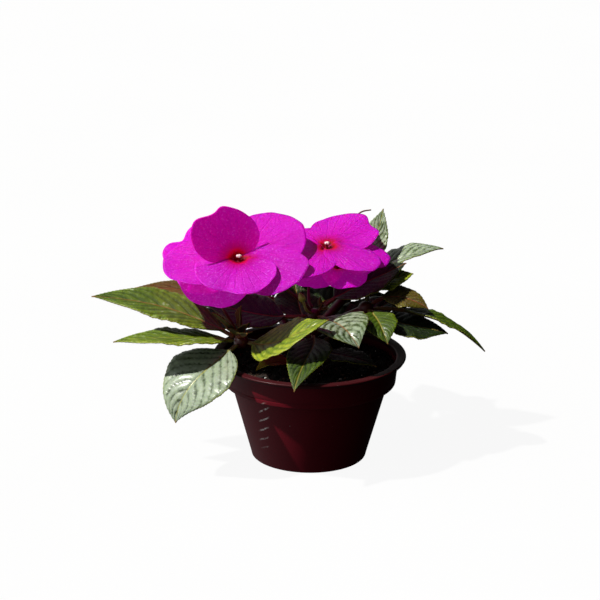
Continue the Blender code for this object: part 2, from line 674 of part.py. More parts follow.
def petal_sheet(frame, petal, sectors=8, rings=2, phase=0.0):
    """Points and faces of a heart-shaped petal's middle surface."""
    centre, right, upper, up = frame
    azimuth = math.radians(petal.azimuth)
    out = right * math.cos(azimuth) + upper * math.sin(azimuth)
    side = upper * math.cos(azimuth) - right * math.sin(azimuth)
    half_angle = math.radians(PETAL_HALF_ANGLE)
    points = []
    for ring in range(rings + 1):
        for k in range(sectors + 1):
            angle = -half_angle + 2.0 * half_angle * k / sectors
            rim = petal.length * RIM_GAIN * math.cos(angle * 90.0 / PETAL_END_ANGLE) ** petal.spread
            rim *= 1.0 - petal.notch * math.exp(-((angle - petal.lean) / NOTCH_WIDTH) ** 2)
            reach = PETAL_FOOT + (rim - PETAL_FOOT) * (ring / rings) ** 0.9
            along = reach * math.cos(angle)
            across = reach * math.sin(angle) * (petal.left if angle > 0.0 else petal.right)
            points.append(petal_point(centre, petal, out, side, up, along, across, phase))
    faces = []
    for ring in range(rings):
        for k in range(sectors):
            a = ring * (sectors + 1) + k
            b = a + sectors + 1
            faces.append((a, b, b + 1, a + 1))
    return points, faces


def petal_point(centre, petal, out, side, up, along, across, phase):
    """A point of a petal from its place along and across the flat petal."""
    rise = math.radians(petal.rise)
    bend = math.radians(petal.bend)
    share = along / petal.length
    angle = rise + 0.5 * bend * share
    way = out * math.cos(angle) + up * math.sin(angle)
    normal = up * math.cos(rise + bend * share) - out * math.sin(rise + bend * share)
    roll = math.radians(petal.roll) * min(1.0, max(0.0, share * 1.6))
    tilted_side = side * math.cos(roll) + normal * math.sin(roll)
    tilted_normal = normal * math.cos(roll) - side * math.sin(roll)
    spread = across / (0.6 * petal.length)
    height = petal.cup * spread * spread + petal.layer * (LAYER_FOOT + LAYER_GAIN * share)
    height += PETAL_WAVE * share * math.sin(PETAL_WAVE_TURN * spread + phase)
    across += petal.swing * share * share
    return centre + way * along + tilted_side * across + tilted_normal * height


def make_petals(bloom, phase, group, material):
    frame = bloom_frame(bloom)
    throat = ball(f"{bloom.name}_petals", frame[0] - frame[3] * THROAT_DEPTH, THROAT_RADIUS, group, material)
    pieces = []
    for k, petal in enumerate(bloom.petals):
        points, faces = petal_sheet(frame, petal, phase=phase + k)
        sheet = thick_sheet(f"{bloom.name}_petal_{k}", points, faces, PETAL_THICKNESS, group, material)
        pieces.append(bake(sheet))
    return join_as_one(throat, pieces)


def make_anthers(bloom, group, material):
    """The cap of joined anthers over the throat."""
    facing = direction(*bloom.facing)
    seat = np.array(bloom.throat) + facing * (THROAT_RADIUS - THROAT_DEPTH + GAP + ANTHER_RADIUS)
    return ball(f"{bloom.name}_anthers", seat, ANTHER_RADIUS, group, material, squash=ANTHER_SQUASH)


def make_pedicel(bloom, group, material):
    """The flower stalk, the knob under the throat and the spur."""
    facing = direction(*bloom.facing)
    knob = np.array(bloom.throat) - facing * (THROAT_DEPTH + THROAT_RADIUS + GAP + KNOB_RADIUS)
    stalk = [np.array(p) for p in bloom.pedicel]
    way = unit(stalk[0] - np.array(KNOTS[bloom.knot][0]))
    path = [knot_seat(bloom.knot, way), *stalk, knob]
    first = rod(f"{bloom.name}_pedicel", path, (PEDICEL_RADIUS, PEDICEL_RADIUS), group, material, per_span=2)
    pieces = [
        ball("knob", knob, KNOB_RADIUS, group, material),
        rod("spur", (knob, *bloom.spur), SPUR_RADII, group, material),
    ]
    return join_as_one(first, pieces)


def make_bud(name, knot, points, length, group, material):
    way = unit(np.array(points[0]) - np.array(KNOTS[knot][0]))
    stalk = rod(name, (knot_seat(knot, way), *points), BUD_STALK_RADII, group, material)
    end = np.array(points[-1])
    heading = unit(end - np.array(points[-2]))
    centre = end + heading * length * 0.45
    body = ball(f"{name}_body", (0, 0, 0), length * 0.5, group, material, squash=BUD_SQUASH)
    turn_to = Vector(heading).to_track_quat("X", "Z")
    body.data.transform(turn_to.to_matrix().to_4x4())
    for vertex in body.data.vertices:
        vertex.co += Vector(centre) * MM
    return join_as_one(stalk, [body])


def make_withered_leaf(group, material):
    base = np.array((*WITHERED_FOOT, 60.0))
    tip = np.array((*WITHERED_TIP, 60.0))
    azimuth = math.degrees(math.atan2(tip[1] - base[1], tip[0] - base[0]))
    spine = leaf_spine(base, direction(azimuth - 20, 20), tip, direction(azimuth + 14, -14))
    frames = leaf_frames(spine, (-26, 6), 20)
    points, faces, shares = leaf_sheet(frames, WITHERED_WIDTH, 30, 0.1, WITHERED_STATIONS,
                                       teeth=0.02, wave=WITHERED_WAVE)
    drop = min(p[2] - soil_height(p[0], p[1]) for p in points) - GAP - BLADE_THICKNESS
    points = [p - np.array((0.0, 0.0, drop)) for p in points]
    return thick_sheet("withered_leaf", points, faces, PETIOLE_THICKNESS, group, material, shares)


def build():
    clear_scene()
    plant = new_collection("potted_impatiens")
    cutters = new_collection("cutters")
    pot_plastic = new_material("pot_plastic", POT_COLOUR, 0.35)
    soil_mix = new_material("soil_mix", SOIL_COLOUR, 0.95)
    stem_skin = new_material("stem_skin", STEM_COLOUR, 0.4)
    leaf_skin = new_material("leaf_skin", LEAF_COLOUR, 0.35)
    young_skin = new_material("young_skin", YOUNG_COLOUR, 0.4)
    petal_skin = new_material("petal_skin", PETAL_COLOUR, 0.6)
    anther_skin = new_material("anther_skin", ANTHER_COLOUR, 0.6)
    withered_skin = new_material("withered_skin", WITHERED_COLOUR, 0.7)
    make_pot(plant, cutters, pot_plastic)
    make_soil(plant, cutters, soil_mix)
    make_stem(plant, stem_skin)
    for k, leaf in enumerate(LEAVES):
        make_leaf(leaf, k * 1.3, plant, leaf_skin)
    for knot, azimuth, elevation, size in SHOOT_TIPS:
        make_shoot_tip(knot, azimuth, elevation, size, plant, young_skin)
    for k, bloom in enumerate(BLOOMS):
        make_petals(bloom, k * 2.1, plant, petal_skin)
        make_anthers(bloom, plant, anther_skin)
        make_pedicel(bloom, plant, stem_skin)
    for name, knot, points, length in BUDS:
        make_bud(name, knot, points, length, plant, petal_skin)
    make_withered_leaf(plant, withered_skin)


build()
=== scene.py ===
"""The looks of the potted impatiens: leaves, petals, stems, soil and pot, their finishes, light and camera.

Lengths are in millimetres and turned into metres where a mesh is made. Azimuths are in degrees from +X
towards +Y, elevations in degrees above the horizontal. The tables of leaves, blooms and stems are those
that the solids are made from.
"""
import math
from collections import namedtuple

import bmesh
import bpy
import numpy as np
from mathutils import Matrix, Vector


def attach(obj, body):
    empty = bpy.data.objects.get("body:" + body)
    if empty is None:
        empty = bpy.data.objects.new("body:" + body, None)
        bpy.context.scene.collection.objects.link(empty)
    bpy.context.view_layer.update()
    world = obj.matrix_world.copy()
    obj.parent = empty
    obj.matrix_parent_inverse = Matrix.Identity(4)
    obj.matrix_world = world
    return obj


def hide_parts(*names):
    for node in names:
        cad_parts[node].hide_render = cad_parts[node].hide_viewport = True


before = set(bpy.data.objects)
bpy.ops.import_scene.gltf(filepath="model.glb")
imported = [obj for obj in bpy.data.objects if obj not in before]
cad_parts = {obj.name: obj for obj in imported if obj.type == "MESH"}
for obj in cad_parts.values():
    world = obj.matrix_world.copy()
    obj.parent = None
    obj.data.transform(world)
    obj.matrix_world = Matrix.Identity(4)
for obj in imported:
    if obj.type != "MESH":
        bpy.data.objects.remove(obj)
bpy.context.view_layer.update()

MM = 0.001
BODY = "root"
# The air between neighbouring pieces.
GAP = 0.3

# The pot: outside radii and heights.
POT_HEIGHT = 58.0
LIP_RADIUS = 52.5
COLLAR_TOP_RADIUS = 48.2
COLLAR_FOOT_RADIUS = 47.0
COLLAR_FOOT_HEIGHT = 43.0
BODY_TOP_RADIUS = 42.3
BODY_FOOT_RADIUS = 32.0
BASE_RADIUS = 30.0
WALL = 1.1
BASE_THICKNESS = 1.4
POT_STEPS = 144
DRAIN_HOLES = 6
DRAIN_RADIUS = 4.0
DRAIN_CIRCLE = 22.0
DRAIN_TURN = 27.0
DRAIN_CUT = 8.0
SHARP_ANGLE = 38.0

# The soil, and what lies strewn on it: how many, their smallest and largest radius, the seed and how finely
# each is cut.
SOIL_EDGE_HEIGHT = 51.5
SOIL_CROWN = 1.6
SOIL_LUMP = 0.7
SOIL_STEPS = 120
SOIL_RINGS = 44
STREWN_RADIUS = 46.0
STEM_CLEARING = 5.0
CRUMPLE = 0.5
CRUMBS = (2600, 0.25, 1.5, 3, 1)
GRAINS = (90, 0.4, 1.3, 8, 2)

# Leaves.
PETIOLE_HALF_WIDTH = 1.15
PETIOLE_HALF_DEPTH = 1.05
BLADE_HALF_THICKNESS = 0.2
OUTLINE_FOOT = 0.74
OUTLINE_TIP = 1.08
TOOTH_PITCH = 1.9
TOOTH_DEPTH = 0.42
TOOTH_STEPS = (0.04, 0.36, 0.68, 0.95)
BLADE_COLUMNS = 13
VEINS = 8.0
VEIN_SWEEP = 0.26
VEIN_CURVE = 0.14
QUILT = 0.62
STALK_ROWS = 9
LEAST_HALF_WIDTH = 0.12
RIM_RIPPLE = 0.3
RIPPLE_PITCH = 6.0
GROOVE_DEPTH = 0.35
GROOVE_HALF_WIDTH = 0.75

# Petals: their grid, the share that an upright one is shorter by, and the waves of rim and face.
PETAL_HALF_THICKNESS = 0.17
PETAL_SECTORS = 56
PETAL_RINGS = 26
PETAL_RING_CROWDING = 0.9
PETAL_HALF_ANGLE = 84.0
PETAL_END_ANGLE = 88.0
PETAL_FOOT = 1.2
NOTCH_WIDTH = 0.2
UPRIGHT_TRIM = 0.035
RIM_WAVE = 0.004
PETAL_SWAY = 0.5
PETAL_RUFFLE = 0.25
PETAL_VEIN_DEPTH = 0.10

# How bright petals are painted: those that lie higher in their bloom get more painted pale sheen, and an
# upright one more painted glow, a glow of the petals' own colour that stands in for light coming through it.
PALE_SHARE = 0.45
PALE_GAIN = 0.23
UPRIGHT_PAINTED_GLOW = 0.30

# A bloom's middle: the funnel that the petals sink into, the dark throat in it, the anthers on their column,
# and the knob and stalk behind them.
FUNNEL_DEPTH = 2.6
FUNNEL_RADIUS = 4.2
THROAT_RADIUS = 2.2
THROAT_DEPTH = 1.4
THROAT_SINK = 1.4
COLUMN_RADII = (0.8, 0.55, 0.6)
ANTHER_RADIUS = 1.15
ANTHER_SEAT = THROAT_RADIUS - THROAT_DEPTH + GAP + ANTHER_RADIUS
ANTHER_LOBES = 5.0
KNOB_RADIUS = 1.5
PEDICEL_RADIUS = 0.85
SPUR_RADII = (1.2, 0.75, 0.5, 0.42)
SEPAL_RADII = (0.9, 0.9, 0.25)

# The stem: the points of its foot, its radii, and how fine its skin and the stalks' skin are. A knot has a
# place and a radius, and a branch has its two knots and the points between them.
TRUNK_FOOT = ((0, 0, 34), (0, 0, 46))
TRUNK_RADII = (3.6, 3.3)
BRANCH_RADII = (3.0, 2.3)
STEM_VOXEL = 0.4
STALK_VOXEL = 0.22
KNOTS = {
    "low": ((0.0, 0.0, 60.5), 3.8),
    "middle": ((1.0, -1.0, 69.5), 3.8),
    "centre": ((2.0, -1.0, 80.0), 4.0),
    "left": ((-37.0, -11.0, 68.0), 4.2),
    "right": ((30.0, 3.0, 83.0), 4.2),
    "back_left": ((-20.0, 25.0, 75.0), 4.0),
    "back_right": ((22.0, 31.0, 84.0), 4.2),
}

BRANCHES = (
    ("low", "middle", ()),
    ("middle", "centre", ()),
    ("low", "left", ((-18.0, -5.0, 62.5),)),
    ("middle", "right", ((15.0, 1.5, 76.0),)),
    ("low", "back_left", ((-10.0, 11.0, 66.0),)),
    ("middle", "back_right", ((10.0, 13.0, 75.0),)),
)

# A leaf starts on a knot in the direction leave (azimuth, elevation), and its tip points along arrive.
# roll turns it about its midrib, fold lifts its halves into a V. The tone runs from dark to yellow green:
# partly the leaf's own green, partly painted shade on leaves that lie in shade and painted light on sunlit
# ones. red is how red its ribs and rim are, silver how much waxy bloom and painted sheen it carries; below
# nought it is how bronze.
Leaf = namedtuple("Leaf", "name knot leave tip arrive width roll fold petiole tone red silver",
                  defaults=(0.35, 0.6, 0.25))

LEAVES = [Leaf("leaf_" + place, *row) for place, *row in (
    ("left_long", "left", (170, 28), (-118, -6, 91), (183, 4), 31, (-8, -14), 12, 0.08, 0.58, 0.8, 0.30),
    ("left_low", "left", (203, 12), (-105, -27, 72.5), (183, -8), 28, (0, -4), 8, 0.06, 0.70, 0.3, 0.32),
    ("front_left", "left", (240, -10), (-71, -44, 33), (262, -78), 42, (0, -14), 6, 0.12, 0.42, 0.2, 0.72),
    ("front_middle", "left", (322, 2), (10, -38, 90), (22, 10), 31, (32, 30), 6, 0.06, 0.80, 0.5, 0.24),
    ("front_hanging", "middle", (278, 2), (-8, -63, 58.5), (258, -38), 23.5, (0, 0), 8, 0.08, 0.34, 0.4, 0.0),
    ("front_right", "centre", (303, 6), (26, -40, 75), (318, -50), 34, (0, 10), 14, 0.16, 0.45, 0.8, 0.62),
    ("right_short", "right", (292, 2), (41.5, -27, 73), (300, -52), 21, (0, 6), 12, 0.14, 0.5, 0.4, 0.1),
    ("right_dark", "right", (334, -20), (75, -1, 70.5), (350, -14), 30, (2, 4), 4, 0.12, 0.04, 0.5, 0.2),
    ("right_long", "right", (8, -2), (96, 6, 58), (350, -44), 22, (-4, -2), 12, 0.24, 0.50, 0.7, 0.1),
    ("right_olive", "right", (12, 34), (64, 0, 84), (340, -30), 21, (8, 8), 6, 0.2, 0.42, 1.0, -0.35),
    ("silver_low", "back_right", (8, 38), (73, 34, 108), (8, 0), 27, (-2, 0), 14, 0.16, 0.45, 0.3, 0.66),
    ("silver_high", "back_right", (30, 66), (39.5, 42, 128), (56, 76), 22, (20, 20), 12,
     0.16, 0.5, 0.2, 0.62),
    ("centre_dark", "centre", (28, 34), (52, 16, 105), (20, 24), 30, (8, 12), 14, 0.18, 0.02, 0.9, 0.1),
    ("right_bright", "right", (82, 42), (56, 16, 99), (18, 10), 18, (-20, -26), 8, 0.3, 0.84, 0.3, 0.0),
    ("under_bloom", "centre", (190, -4), (-58, 5, 84), (176, 6), 29, (-20, -26), 12, 0.20, 0.08, 0.9, 0.1),
    ("soil_right", "low", (318, 2), (36, -21, 58), (330, -16), 22, (0, 0), 8, 0.18, 0.15, 0.4, 0.1),
    ("left_rear", "back_left", (176, 15), (-96, 16, 89), (186, 2), 23, (-6, -10), 10, 0.16, 0.4, 1.0, -0.5),
    ("inner_left", "back_left", (202, -10), (-68, 7, 74), (188, 4), 29, (-10, -14), 10, 0.14, 0.1, 0.5, 0.0),
    ("inner_right", "low", (24, 20), (50, 26, 82), (24, 14), 31, (14, 14), 10, 0.14, 0.15, 0.5, 0.2),
    ("inner_back", "middle", (122, 34), (-9, 34, 87), (104, 34), 30, (0, 0), 8, 0.14, 0.2, 0.5, 0.2),
    ("back_far_left", "back_left", (147, -8), (-80, 54, 62), (146, -38), 31, (0, 4), 10,
     0.18, 0.35, 0.6, 0.3),
    ("back_left", "back_left", (114, 0), (-46, 88, 60), (108, -44), 33, (0, -4), 10, 0.15, 0.45, 0.7, 0.3),
    ("back_middle", "back_left", (76, 20), (-6, 82, 82), (86, -24), 29, (0, 4), 12, 0.16, 0.5, 0.6, 0.4),
    ("back_inner", "back_left", (26, -10), (23, 55, 76), (44, 2), 34, (14, 14), 8, 0.22, 0.12, 0.5, 0.1),
    ("back_low", "low", (78, -6), (4, 68, 62), (92, -20), 36, (0, 0), 8, 0.20, 0.25, 0.5, 0.2),
    ("back_right", "back_right", (92, 2), (24, 96, 66), (90, -42), 33, (0, 4), 10, 0.15, 0.4, 0.7, 0.3),
    ("back_far_right", "back_right", (50, -8), (62, 76, 62), (46, -44), 32, (0, 4), 12, 0.15, 0.45, 0.6, 0.3),
    ("back_side", "back_right", (20, -18), (66, 48, 56), (24, -46), 24, (4, 6), 12, 0.17, 0.35, 0.6, 0.25),
    ("back_upper", "back_left", (136, 32), (-54, 54, 99), (140, 0), 27, (0, 0), 12, 0.18, 0.5, 0.7, 0.4),
    ("back_top", "back_right", (162, 26), (-12, 62, 98), (128, -6), 26, (0, 0), 12, 0.16, 0.55, 0.5, 0.4),
)]

# A petal, in its bloom's own plane: azimuth from the plane's right, rise out of the plane at the throat,
# bend in degrees over its length, length, spread (the exponent of its outline: small is broad), roll,
# cup, its height in the layers of the bloom, how far its end swings to its left, how wide its left and
# right halves are, how deep its notch is as a share of its length, and where the notch is in radians.
Petal = namedtuple("Petal", "azimuth rise bend length spread roll cup layer swing left right notch lean",
                   defaults=(0.0, 1.0, 1.0, 0.05, 0.0))
# A bloom: throat, the way its face looks, its petals, the points of its pedicel and spur, its tone, which
# sets how much painted pale sheen and painted sparkle its petals get, and its painted glow, a glow of the
# petals' own colour that stands in for light coming through them.
Bloom = namedtuple("Bloom", "name throat facing petals knot pedicel spur tone glow")

BLOOMS = (
    Bloom("bloom_left_upper", (-38.5, -10.0, 114.0), (270, 70), (
        Petal(267, 0, -5, 34, 0.30, 0, 1.6, 2.4, 0, 0.90, 0.95, 0.10, -0.14),
        Petal(350, 3, -5, 38.0, 0.30, 9, 0.0, 1.3, 0, 0.44, 1.0, 0.0),
        Petal(38, 11, 2, 41.5, 0.50, 4, -1.0, -1.0, 0, 0.92, 0.8, 0.0),
        Petal(120, 63, 14, 33.3, 0.55, 0, 2.5, -1.1, 10, 1.18, 0.84, 0.12, 0.09),
        Petal(194, 0, -4, 41, 0.60, 4, 0.5, 0.6, 0, 0.84, 1.0, 0.0)),
        "centre", ((-4.5, -5.0, 89.0), (-12.0, -8.0, 96.0), (-20.0, -8.5, 102.0), (-30.0, -8.0, 106.5)),
        ((-38.0, 2.0, 107.0), (-36.0, 14.0, 111.0), (-34.0, 22.0, 117.0)), 0.75, 0.14),
    Bloom("bloom_left_lower", (-46.0, 6.0, 104.0), (266, 68), (
        Petal(257, -2, -8, 33, 0.42, 0, 1.5, 1.6, 0, 0.84, 1.0),
        Petal(338, -2, -4, 27, 0.56, 0, 0.5, 0.4),
        Petal(58, 0, 0, 28, 0.56, 0, 0.5, -0.8),
        Petal(136, 4, 2, 39, 0.56, 0, 1.0, -0.2, 0, 1.0, 1.1, 0.16, 0.06),
        Petal(203, 0, 0, 30, 0.60, 0, 0.0, 0.8)),
        "left", ((-43.0, -12.0, 80.0), (-48.0, -10.0, 89.0), (-47.0, 2.0, 95.0)),
        ((-49.0, 16.0, 96.0), (-52.0, 26.0, 98.0)), 0.6, 0.55),
    Bloom("bloom_right_upper", (8.5, 10.0, 115.5), (285, 76), (
        Petal(240, 0, -8, 36, 0.75, 0, -1.0, 1.0, 0, 0.72, 0.62, 0.0),
        Petal(326, 0, -12, 32.5, 0.95, 0, -3.0, 2.2, 0, 0.85, 0.80, 0.0),
        Petal(351, -2, -6, 35, 0.90, 0, 0.0, 0.2, 0, 0.72, 0.80, 0.0),
        Petal(55, 4, 2, 37, 0.60, -6, -1.5, 0.6, 0, 0.95, 0.86, 0.12, -0.28),
        Petal(152, 0, -4, 25, 0.70, 0, 0.5, -0.6, 0, 1.0, 1.05, 0.0)),
        "back_right", ((16.0, 42.0, 98.0), (13.0, 43.0, 111.0), (9.0, 30.0, 115.5), (8.0, 18.0, 112.5)),
        ((13.0, 22.0, 113.5), (20.0, 38.0, 120.0), (27.0, 42.5, 125.5), (33.0, 43.0, 127.0)), 0.35, 0.14),
    Bloom("bloom_right_lower", (14.5, 9.0, 105.0), (276, 72), (
        Petal(226, -2, -6, 28, 0.60, 0, 1.0, 1.0, 0, 0.62, 1.0, 0.10, 0.2),
        Petal(286, -2, -8, 22, 0.50, 0, -1.0, 1.8, 0, 1.0, 0.80),
        Petal(20, -6, 0, 20, 0.70, 0, 0.0, 0.2),
        Petal(88, -10, 0, 23, 0.70, 0, 0.0, -0.8),
        Petal(162, -6, 0, 26, 0.70, 0, 0.0, -0.2)),
        "centre", ((-1.0, 3.0, 88.0), (0.0, 8.0, 96.5), (8.0, 11.0, 99.5)),
        ((17.0, 17.0, 100.5), (20.0, 27.0, 102.5)), 0.25, 0.35),
)

# A bud: its knot, the points of its stalk and its length. Its places and radii are shares of that length.
BUD_STEPS = (-0.02, 0.1, 0.3, 0.5, 0.7, 0.88, 0.98)
BUD_RADII = (0.12, 0.24, 0.31, 0.29, 0.20, 0.10, 0.03)
BUDS = (
    ("bud_front", "centre", ((-2.0, -10.0, 86.0), (-4.0, -13.0, 92.0)), 6.5),
    ("bud_back", "back_right", ((30.0, 40.0, 92.0), (38.0, 56.0, 100.0)), 10.0),
    ("bud_left_back", "back_left", ((-25.0, 27.0, 86.0), (-30.0, 30.0, 95.0)), 8.0),
)

# A shoot tip: its knot, the way it looks and its size. Its young leaves follow each other round it by an
# even turn, and each is shorter and steeper than the last.
SHOOT_TIPS = (
    ("centre", 335, 48, 0.5),
    ("left", 262, 50, 1.45),
    ("back_left", 110, 60, 0.7),
    ("back_right", 320, 40, 0.6),
)
YOUNG_LEAVES = 5
YOUNG_TURN = 137.5
YOUNG_LENGTH = 15.0
YOUNG_LENGTH_STEP = 1.6
YOUNG_LEAN = 0.75
YOUNG_LEAN_STEP = 0.08
YOUNG_WIDTH = 7.0
YOUNG_FOLD = 30
YOUNG_PETIOLE = 0.16
YOUNG_TINT = (0.60, 0.9, -0.80)
YOUNG_CORE = 1.8
CORE_TINT = (0.4, 0.9, 0.0)

WITHERED_FOOT = (-8.5, -9.0)
WITHERED_TIP = (-29.0, -20.0)

# The photograph's camera: distance from the rim's middle, height above the horizontal, roll, and the place
# of the rim's middle in the picture of 600 by 600 pixels.
IMAGE_SIZE = 600.0
CAMERA_DISTANCE = 1400.0
CAMERA_ELEVATION = math.radians(19.5)
CAMERA_ROLL = math.radians(0.6)
RIM_PIXEL = (311.0, 352.7)
RIM_HALF_PIXELS = 96.3
SENSOR_WIDTH = 36.0

# Light: the sun stands high on the left, a little in front, and the sky fades towards the right. Two pale
# panels, each with its direction, strength and size in metres, show in gloss only.
KEY_DIRECTION = (-0.53, -0.19, 0.83)
KEY_STRENGTH = 5.0
KEY_ANGLE = math.radians(2.0)
KEY_COLOUR = (1.0, 0.98, 0.94)
SHEENS = (
    ("back_sheen", (-0.2, 0.92, 0.38), 2.0, 1.5),
    ("left_sheen", (-0.80, -0.30, 0.55), 3.0, 0.8),
)
LAMP_DISTANCE = 1.6
LAMP_AIM_HEIGHT = 0.08
SKY_COLOUR = (0.95, 0.98, 1.0, 1.0)
SKY_STRENGTH = 0.60
SKY_FALL = 4.0
SKY_DARK_SIDE = 0.0003
FLOOR_SIZE = 12.0
FLOOR_DROP = 0.0002


class Value:
    """A socket of a material, worked with as a number."""

    def __init__(self, finish, socket):
        self.finish = finish
        self.socket = socket

    def _math(self, operation, *values):
        return self.finish.node("ShaderNodeMath", dict(enumerate(values)), operation=operation)

    def __add__(self, other):
        return self._math("ADD", self, other)

    def __radd__(self, other):
        return self._math("ADD", other, self)

    def __sub__(self, other):
        return self._math("SUBTRACT", self, other)

    def __rsub__(self, other):
        return self._math("SUBTRACT", other, self)

    def __mul__(self, other):
        return self._math("MULTIPLY", self, other)

    def __rmul__(self, other):
        return self._math("MULTIPLY", other, self)

    def __abs__(self):
        return self._math("ABSOLUTE", self)

    def fraction(self):
        return self._math("FRACT", self)

    def sine(self):
        return self._math("SINE", self)

    def most(self, other):
        return self._math("MAXIMUM", self, other)


class Finish:
    """A material under construction."""

    def __init__(self, name, **settings):
        self.material = bpy.data.materials.new(name)
        self.material.use_nodes = True
        self.tree = self.material.node_tree
        self.shader = self.tree.nodes["Principled BSDF"]
        for socket, value in settings.items():
            self.shader.inputs[socket.replace("_", " ")].default_value = value

    def feed(self, socket, value):
        if isinstance(value, Value):
            self.tree.links.new(value.socket, socket)
        elif hasattr(value, "__len__") and len(value) == 3 and socket.type == "RGBA":
            socket.default_value = (*value, 1.0)
        else:
            socket.default_value = value

    def node(self, kind, values, output=0, stops=None, **settings):
        """Adds a node: its settings first, then the values or links of its sockets."""
        node = self.tree.nodes.new(kind)
        for name, value in settings.items():
            setattr(node, name, value)
        if stops is not None:
            elements = node.color_ramp.elements
            while len(elements) < len(stops):
                elements.new(0.5)
            for element, (place, colour) in zip(elements, stops):
                element.position = place
                element.color = (*colour, 1.0)
        for name, value in values.items():
            self.feed(node.inputs[name], value)
        return Value(self, node.outputs[output])

    def attribute(self, name, output="Fac"):
        return self.node("ShaderNodeAttribute", {}, output, attribute_name=name)

    def split(self, vector):
        node = self.tree.nodes.new("ShaderNodeSeparateXYZ")
        self.feed(node.inputs[0], vector)
        return tuple(Value(self, socket) for socket in node.outputs)

    def place(self):
        return self.node("ShaderNodeTexCoord", {}, "Object")

    def noise(self, vector, scale, detail=3.0, roughness=0.5, output="Fac"):
        return self.node("ShaderNodeTexNoise", {"Vector": vector, "Scale": scale, "Detail": detail,
                                                "Roughness": roughness}, output)

    def cells(self, vector, scale, feature="F1"):
        return self.node("ShaderNodeTexVoronoi", {"Vector": vector, "Scale": scale}, "Distance",
                         feature=feature)

    def step(self, value, low, high, start=0.0, end=1.0):
        """A smooth step from start to end as the value goes from low to high."""
        return self.node("ShaderNodeMapRange", {"Value": value, "From Min": low, "From Max": high,
                                                "To Min": start, "To Max": end},
                         interpolation_type="SMOOTHSTEP")

    def mix(self, share, first, second):
        """A colour between two others."""
        return self.node("ShaderNodeMix", {0: share, 6: first, 7: second}, 2, data_type="RGBA")

    def ramp(self, value, stops):
        return self.node("ShaderNodeValToRGB", {"Fac": value}, stops=stops)

    def bump(self, height, strength, distance):
        return self.node("ShaderNodeBump", {"Height": height, "Strength": strength,
                                            "Distance": distance * MM})

    def wear(self, **sockets):
        """Feeds the shader's own sockets and gives the finished material."""
        for name, value in sockets.items():
            self.feed(self.shader.inputs[name.replace("_", " ")], value)
        return self.material


def leaf_skin():
    """A quilted waxy leaf: painted shade and light on dark to yellow green, painted glints and sheen, veins,
    a red midrib, a rim and a paler underside.
    """
    f = Finish("leaf_skin", Specular_IOR_Level=0.34, Subsurface_Weight=0.08, Subsurface_Scale=0.0012,
               Coat_Roughness=0.24)
    f.shader.inputs["Subsurface Radius"].default_value = (0.6, 1.0, 0.1)
    across, along, from_rib = f.split(f.attribute("blade", "Vector"))
    tone, red, silver = f.split(f.attribute("tint", "Vector"))
    upper = f.attribute("upper")
    place = f.place()
    aside = abs(across)
    cloud = f.noise(place, 85.0, 3.0)
    fine = f.noise(place, 900.0, 2.0)
    streak = f.noise(place, 330.0, 3.0, 0.6)
    sweep = along - VEIN_SWEEP * aside - VEIN_CURVE * aside * aside
    phase = (sweep * VEINS + 8.0 + 0.05 * cloud).fraction()
    ridge = abs(phase - 0.5) * 2.0
    vein = f.step(ridge, 0.90, 0.995) * f.step(aside, 0.8, 0.98, 1.0, 0.0) * f.step(along, 0.0, 0.05)
    pillow = 1.0 - f.step(ridge, 0.25, 0.95)
    rib = f.step(from_rib + 0.35 * along, 0.35, 0.75, 1.0, 0.0)
    rim = f.step(aside, 0.955, 1.0) * f.step(along, 0.0, 0.06)
    mesh_line = f.step(f.cells(place, 1500.0, "DISTANCE_TO_EDGE"), 0.0, 0.14, 1.0, 0.0)
    # The tone with painted light: the leaf's tone, random clouds, painted glint streaks, lighter towards the
    # margin, and painted highlights on the tops of the quilting.
    tone_with_painted_light = (tone + 0.34 * (cloud - 0.5) + 0.50 * (streak - 0.5) + 0.14 * f.step(aside, 0.55, 1.0)
             + 0.16 * (pillow - 0.4))
    colour = f.ramp(tone_with_painted_light, (
        (0.0, (0.003, 0.008, 0.004)),
        (0.25, (0.008, 0.024, 0.001)),
        (0.55, (0.046, 0.088, 0.001)),
        (0.85, (0.140, 0.210, 0.002)),
        (1.0, (0.300, 0.360, 0.010))))
    # Silvery wax: partly the leaf's own waxy bloom, partly a painted sheen lying in streaks and on the tops
    # of the quilting.
    patchy = 1.8 - 1.5 * silver
    wax_and_painted_sheen = f.step(silver + patchy * (streak - 0.5) + 0.18 * (pillow - 0.5), 0.46, 0.80) * (0.5 + 0.5 * fine)
    colour = f.mix(wax_and_painted_sheen * 0.9, colour, (0.42, 0.50, 0.37))
    bronze = (-1.0 * silver).most(0.0)
    colour = f.mix(bronze * (0.4 + 0.9 * cloud), colour, (0.22, 0.032, 0.014))
    colour = f.mix(mesh_line * 0.10, colour, (0.16, 0.22, 0.03))
    colour = f.mix(vein * (0.42 - 0.34 * silver), colour, (0.014, 0.036, 0.004))
    rib_colour = f.mix(red, (0.30, 0.34, 0.04), (0.26, 0.045, 0.016))
    colour = f.mix(rib * 0.75, colour, rib_colour)
    # The rim: the margin's own yellow green or red, brightened as painted light shining through the thin
    # edge.
    rim_colour = f.mix(red * 0.45, (0.42, 0.48, 0.04), (0.26, 0.05, 0.02))
    colour = f.mix(rim * 0.65, colour, rim_colour)
    under = f.mix(red * 0.6, (0.10, 0.15, 0.04), (0.12, 0.03, 0.03))
    under = f.mix(vein * 0.5, under, (0.24, 0.08, 0.06))
    under = f.mix(rib, under, rib_colour)
    stalk = f.mix(red * 0.9, (0.20, 0.22, 0.03), (0.24, 0.012, 0.016))
    colour = f.mix(1.0 - upper, colour, under)
    colour = f.mix(f.step(along, -0.04, 0.03, 1.0, 0.0), colour, stalk)
    colour = f.mix(f.step(along, 0.96, 1.0) * 0.6, colour, (0.30, 0.10, 0.03))
    height = 0.45 * fine - 0.4 * mesh_line - 0.7 * vein + 0.8 * streak
    bump = f.bump(height, 0.55, 0.35)
    return f.wear(Base_Color=colour, Roughness=0.34 + 0.16 * fine + 0.10 * vein + 0.14 * (1.0 - upper),
                  Coat_Weight=(0.06 + 0.6 * silver.most(0.0)) * upper, Normal=bump)


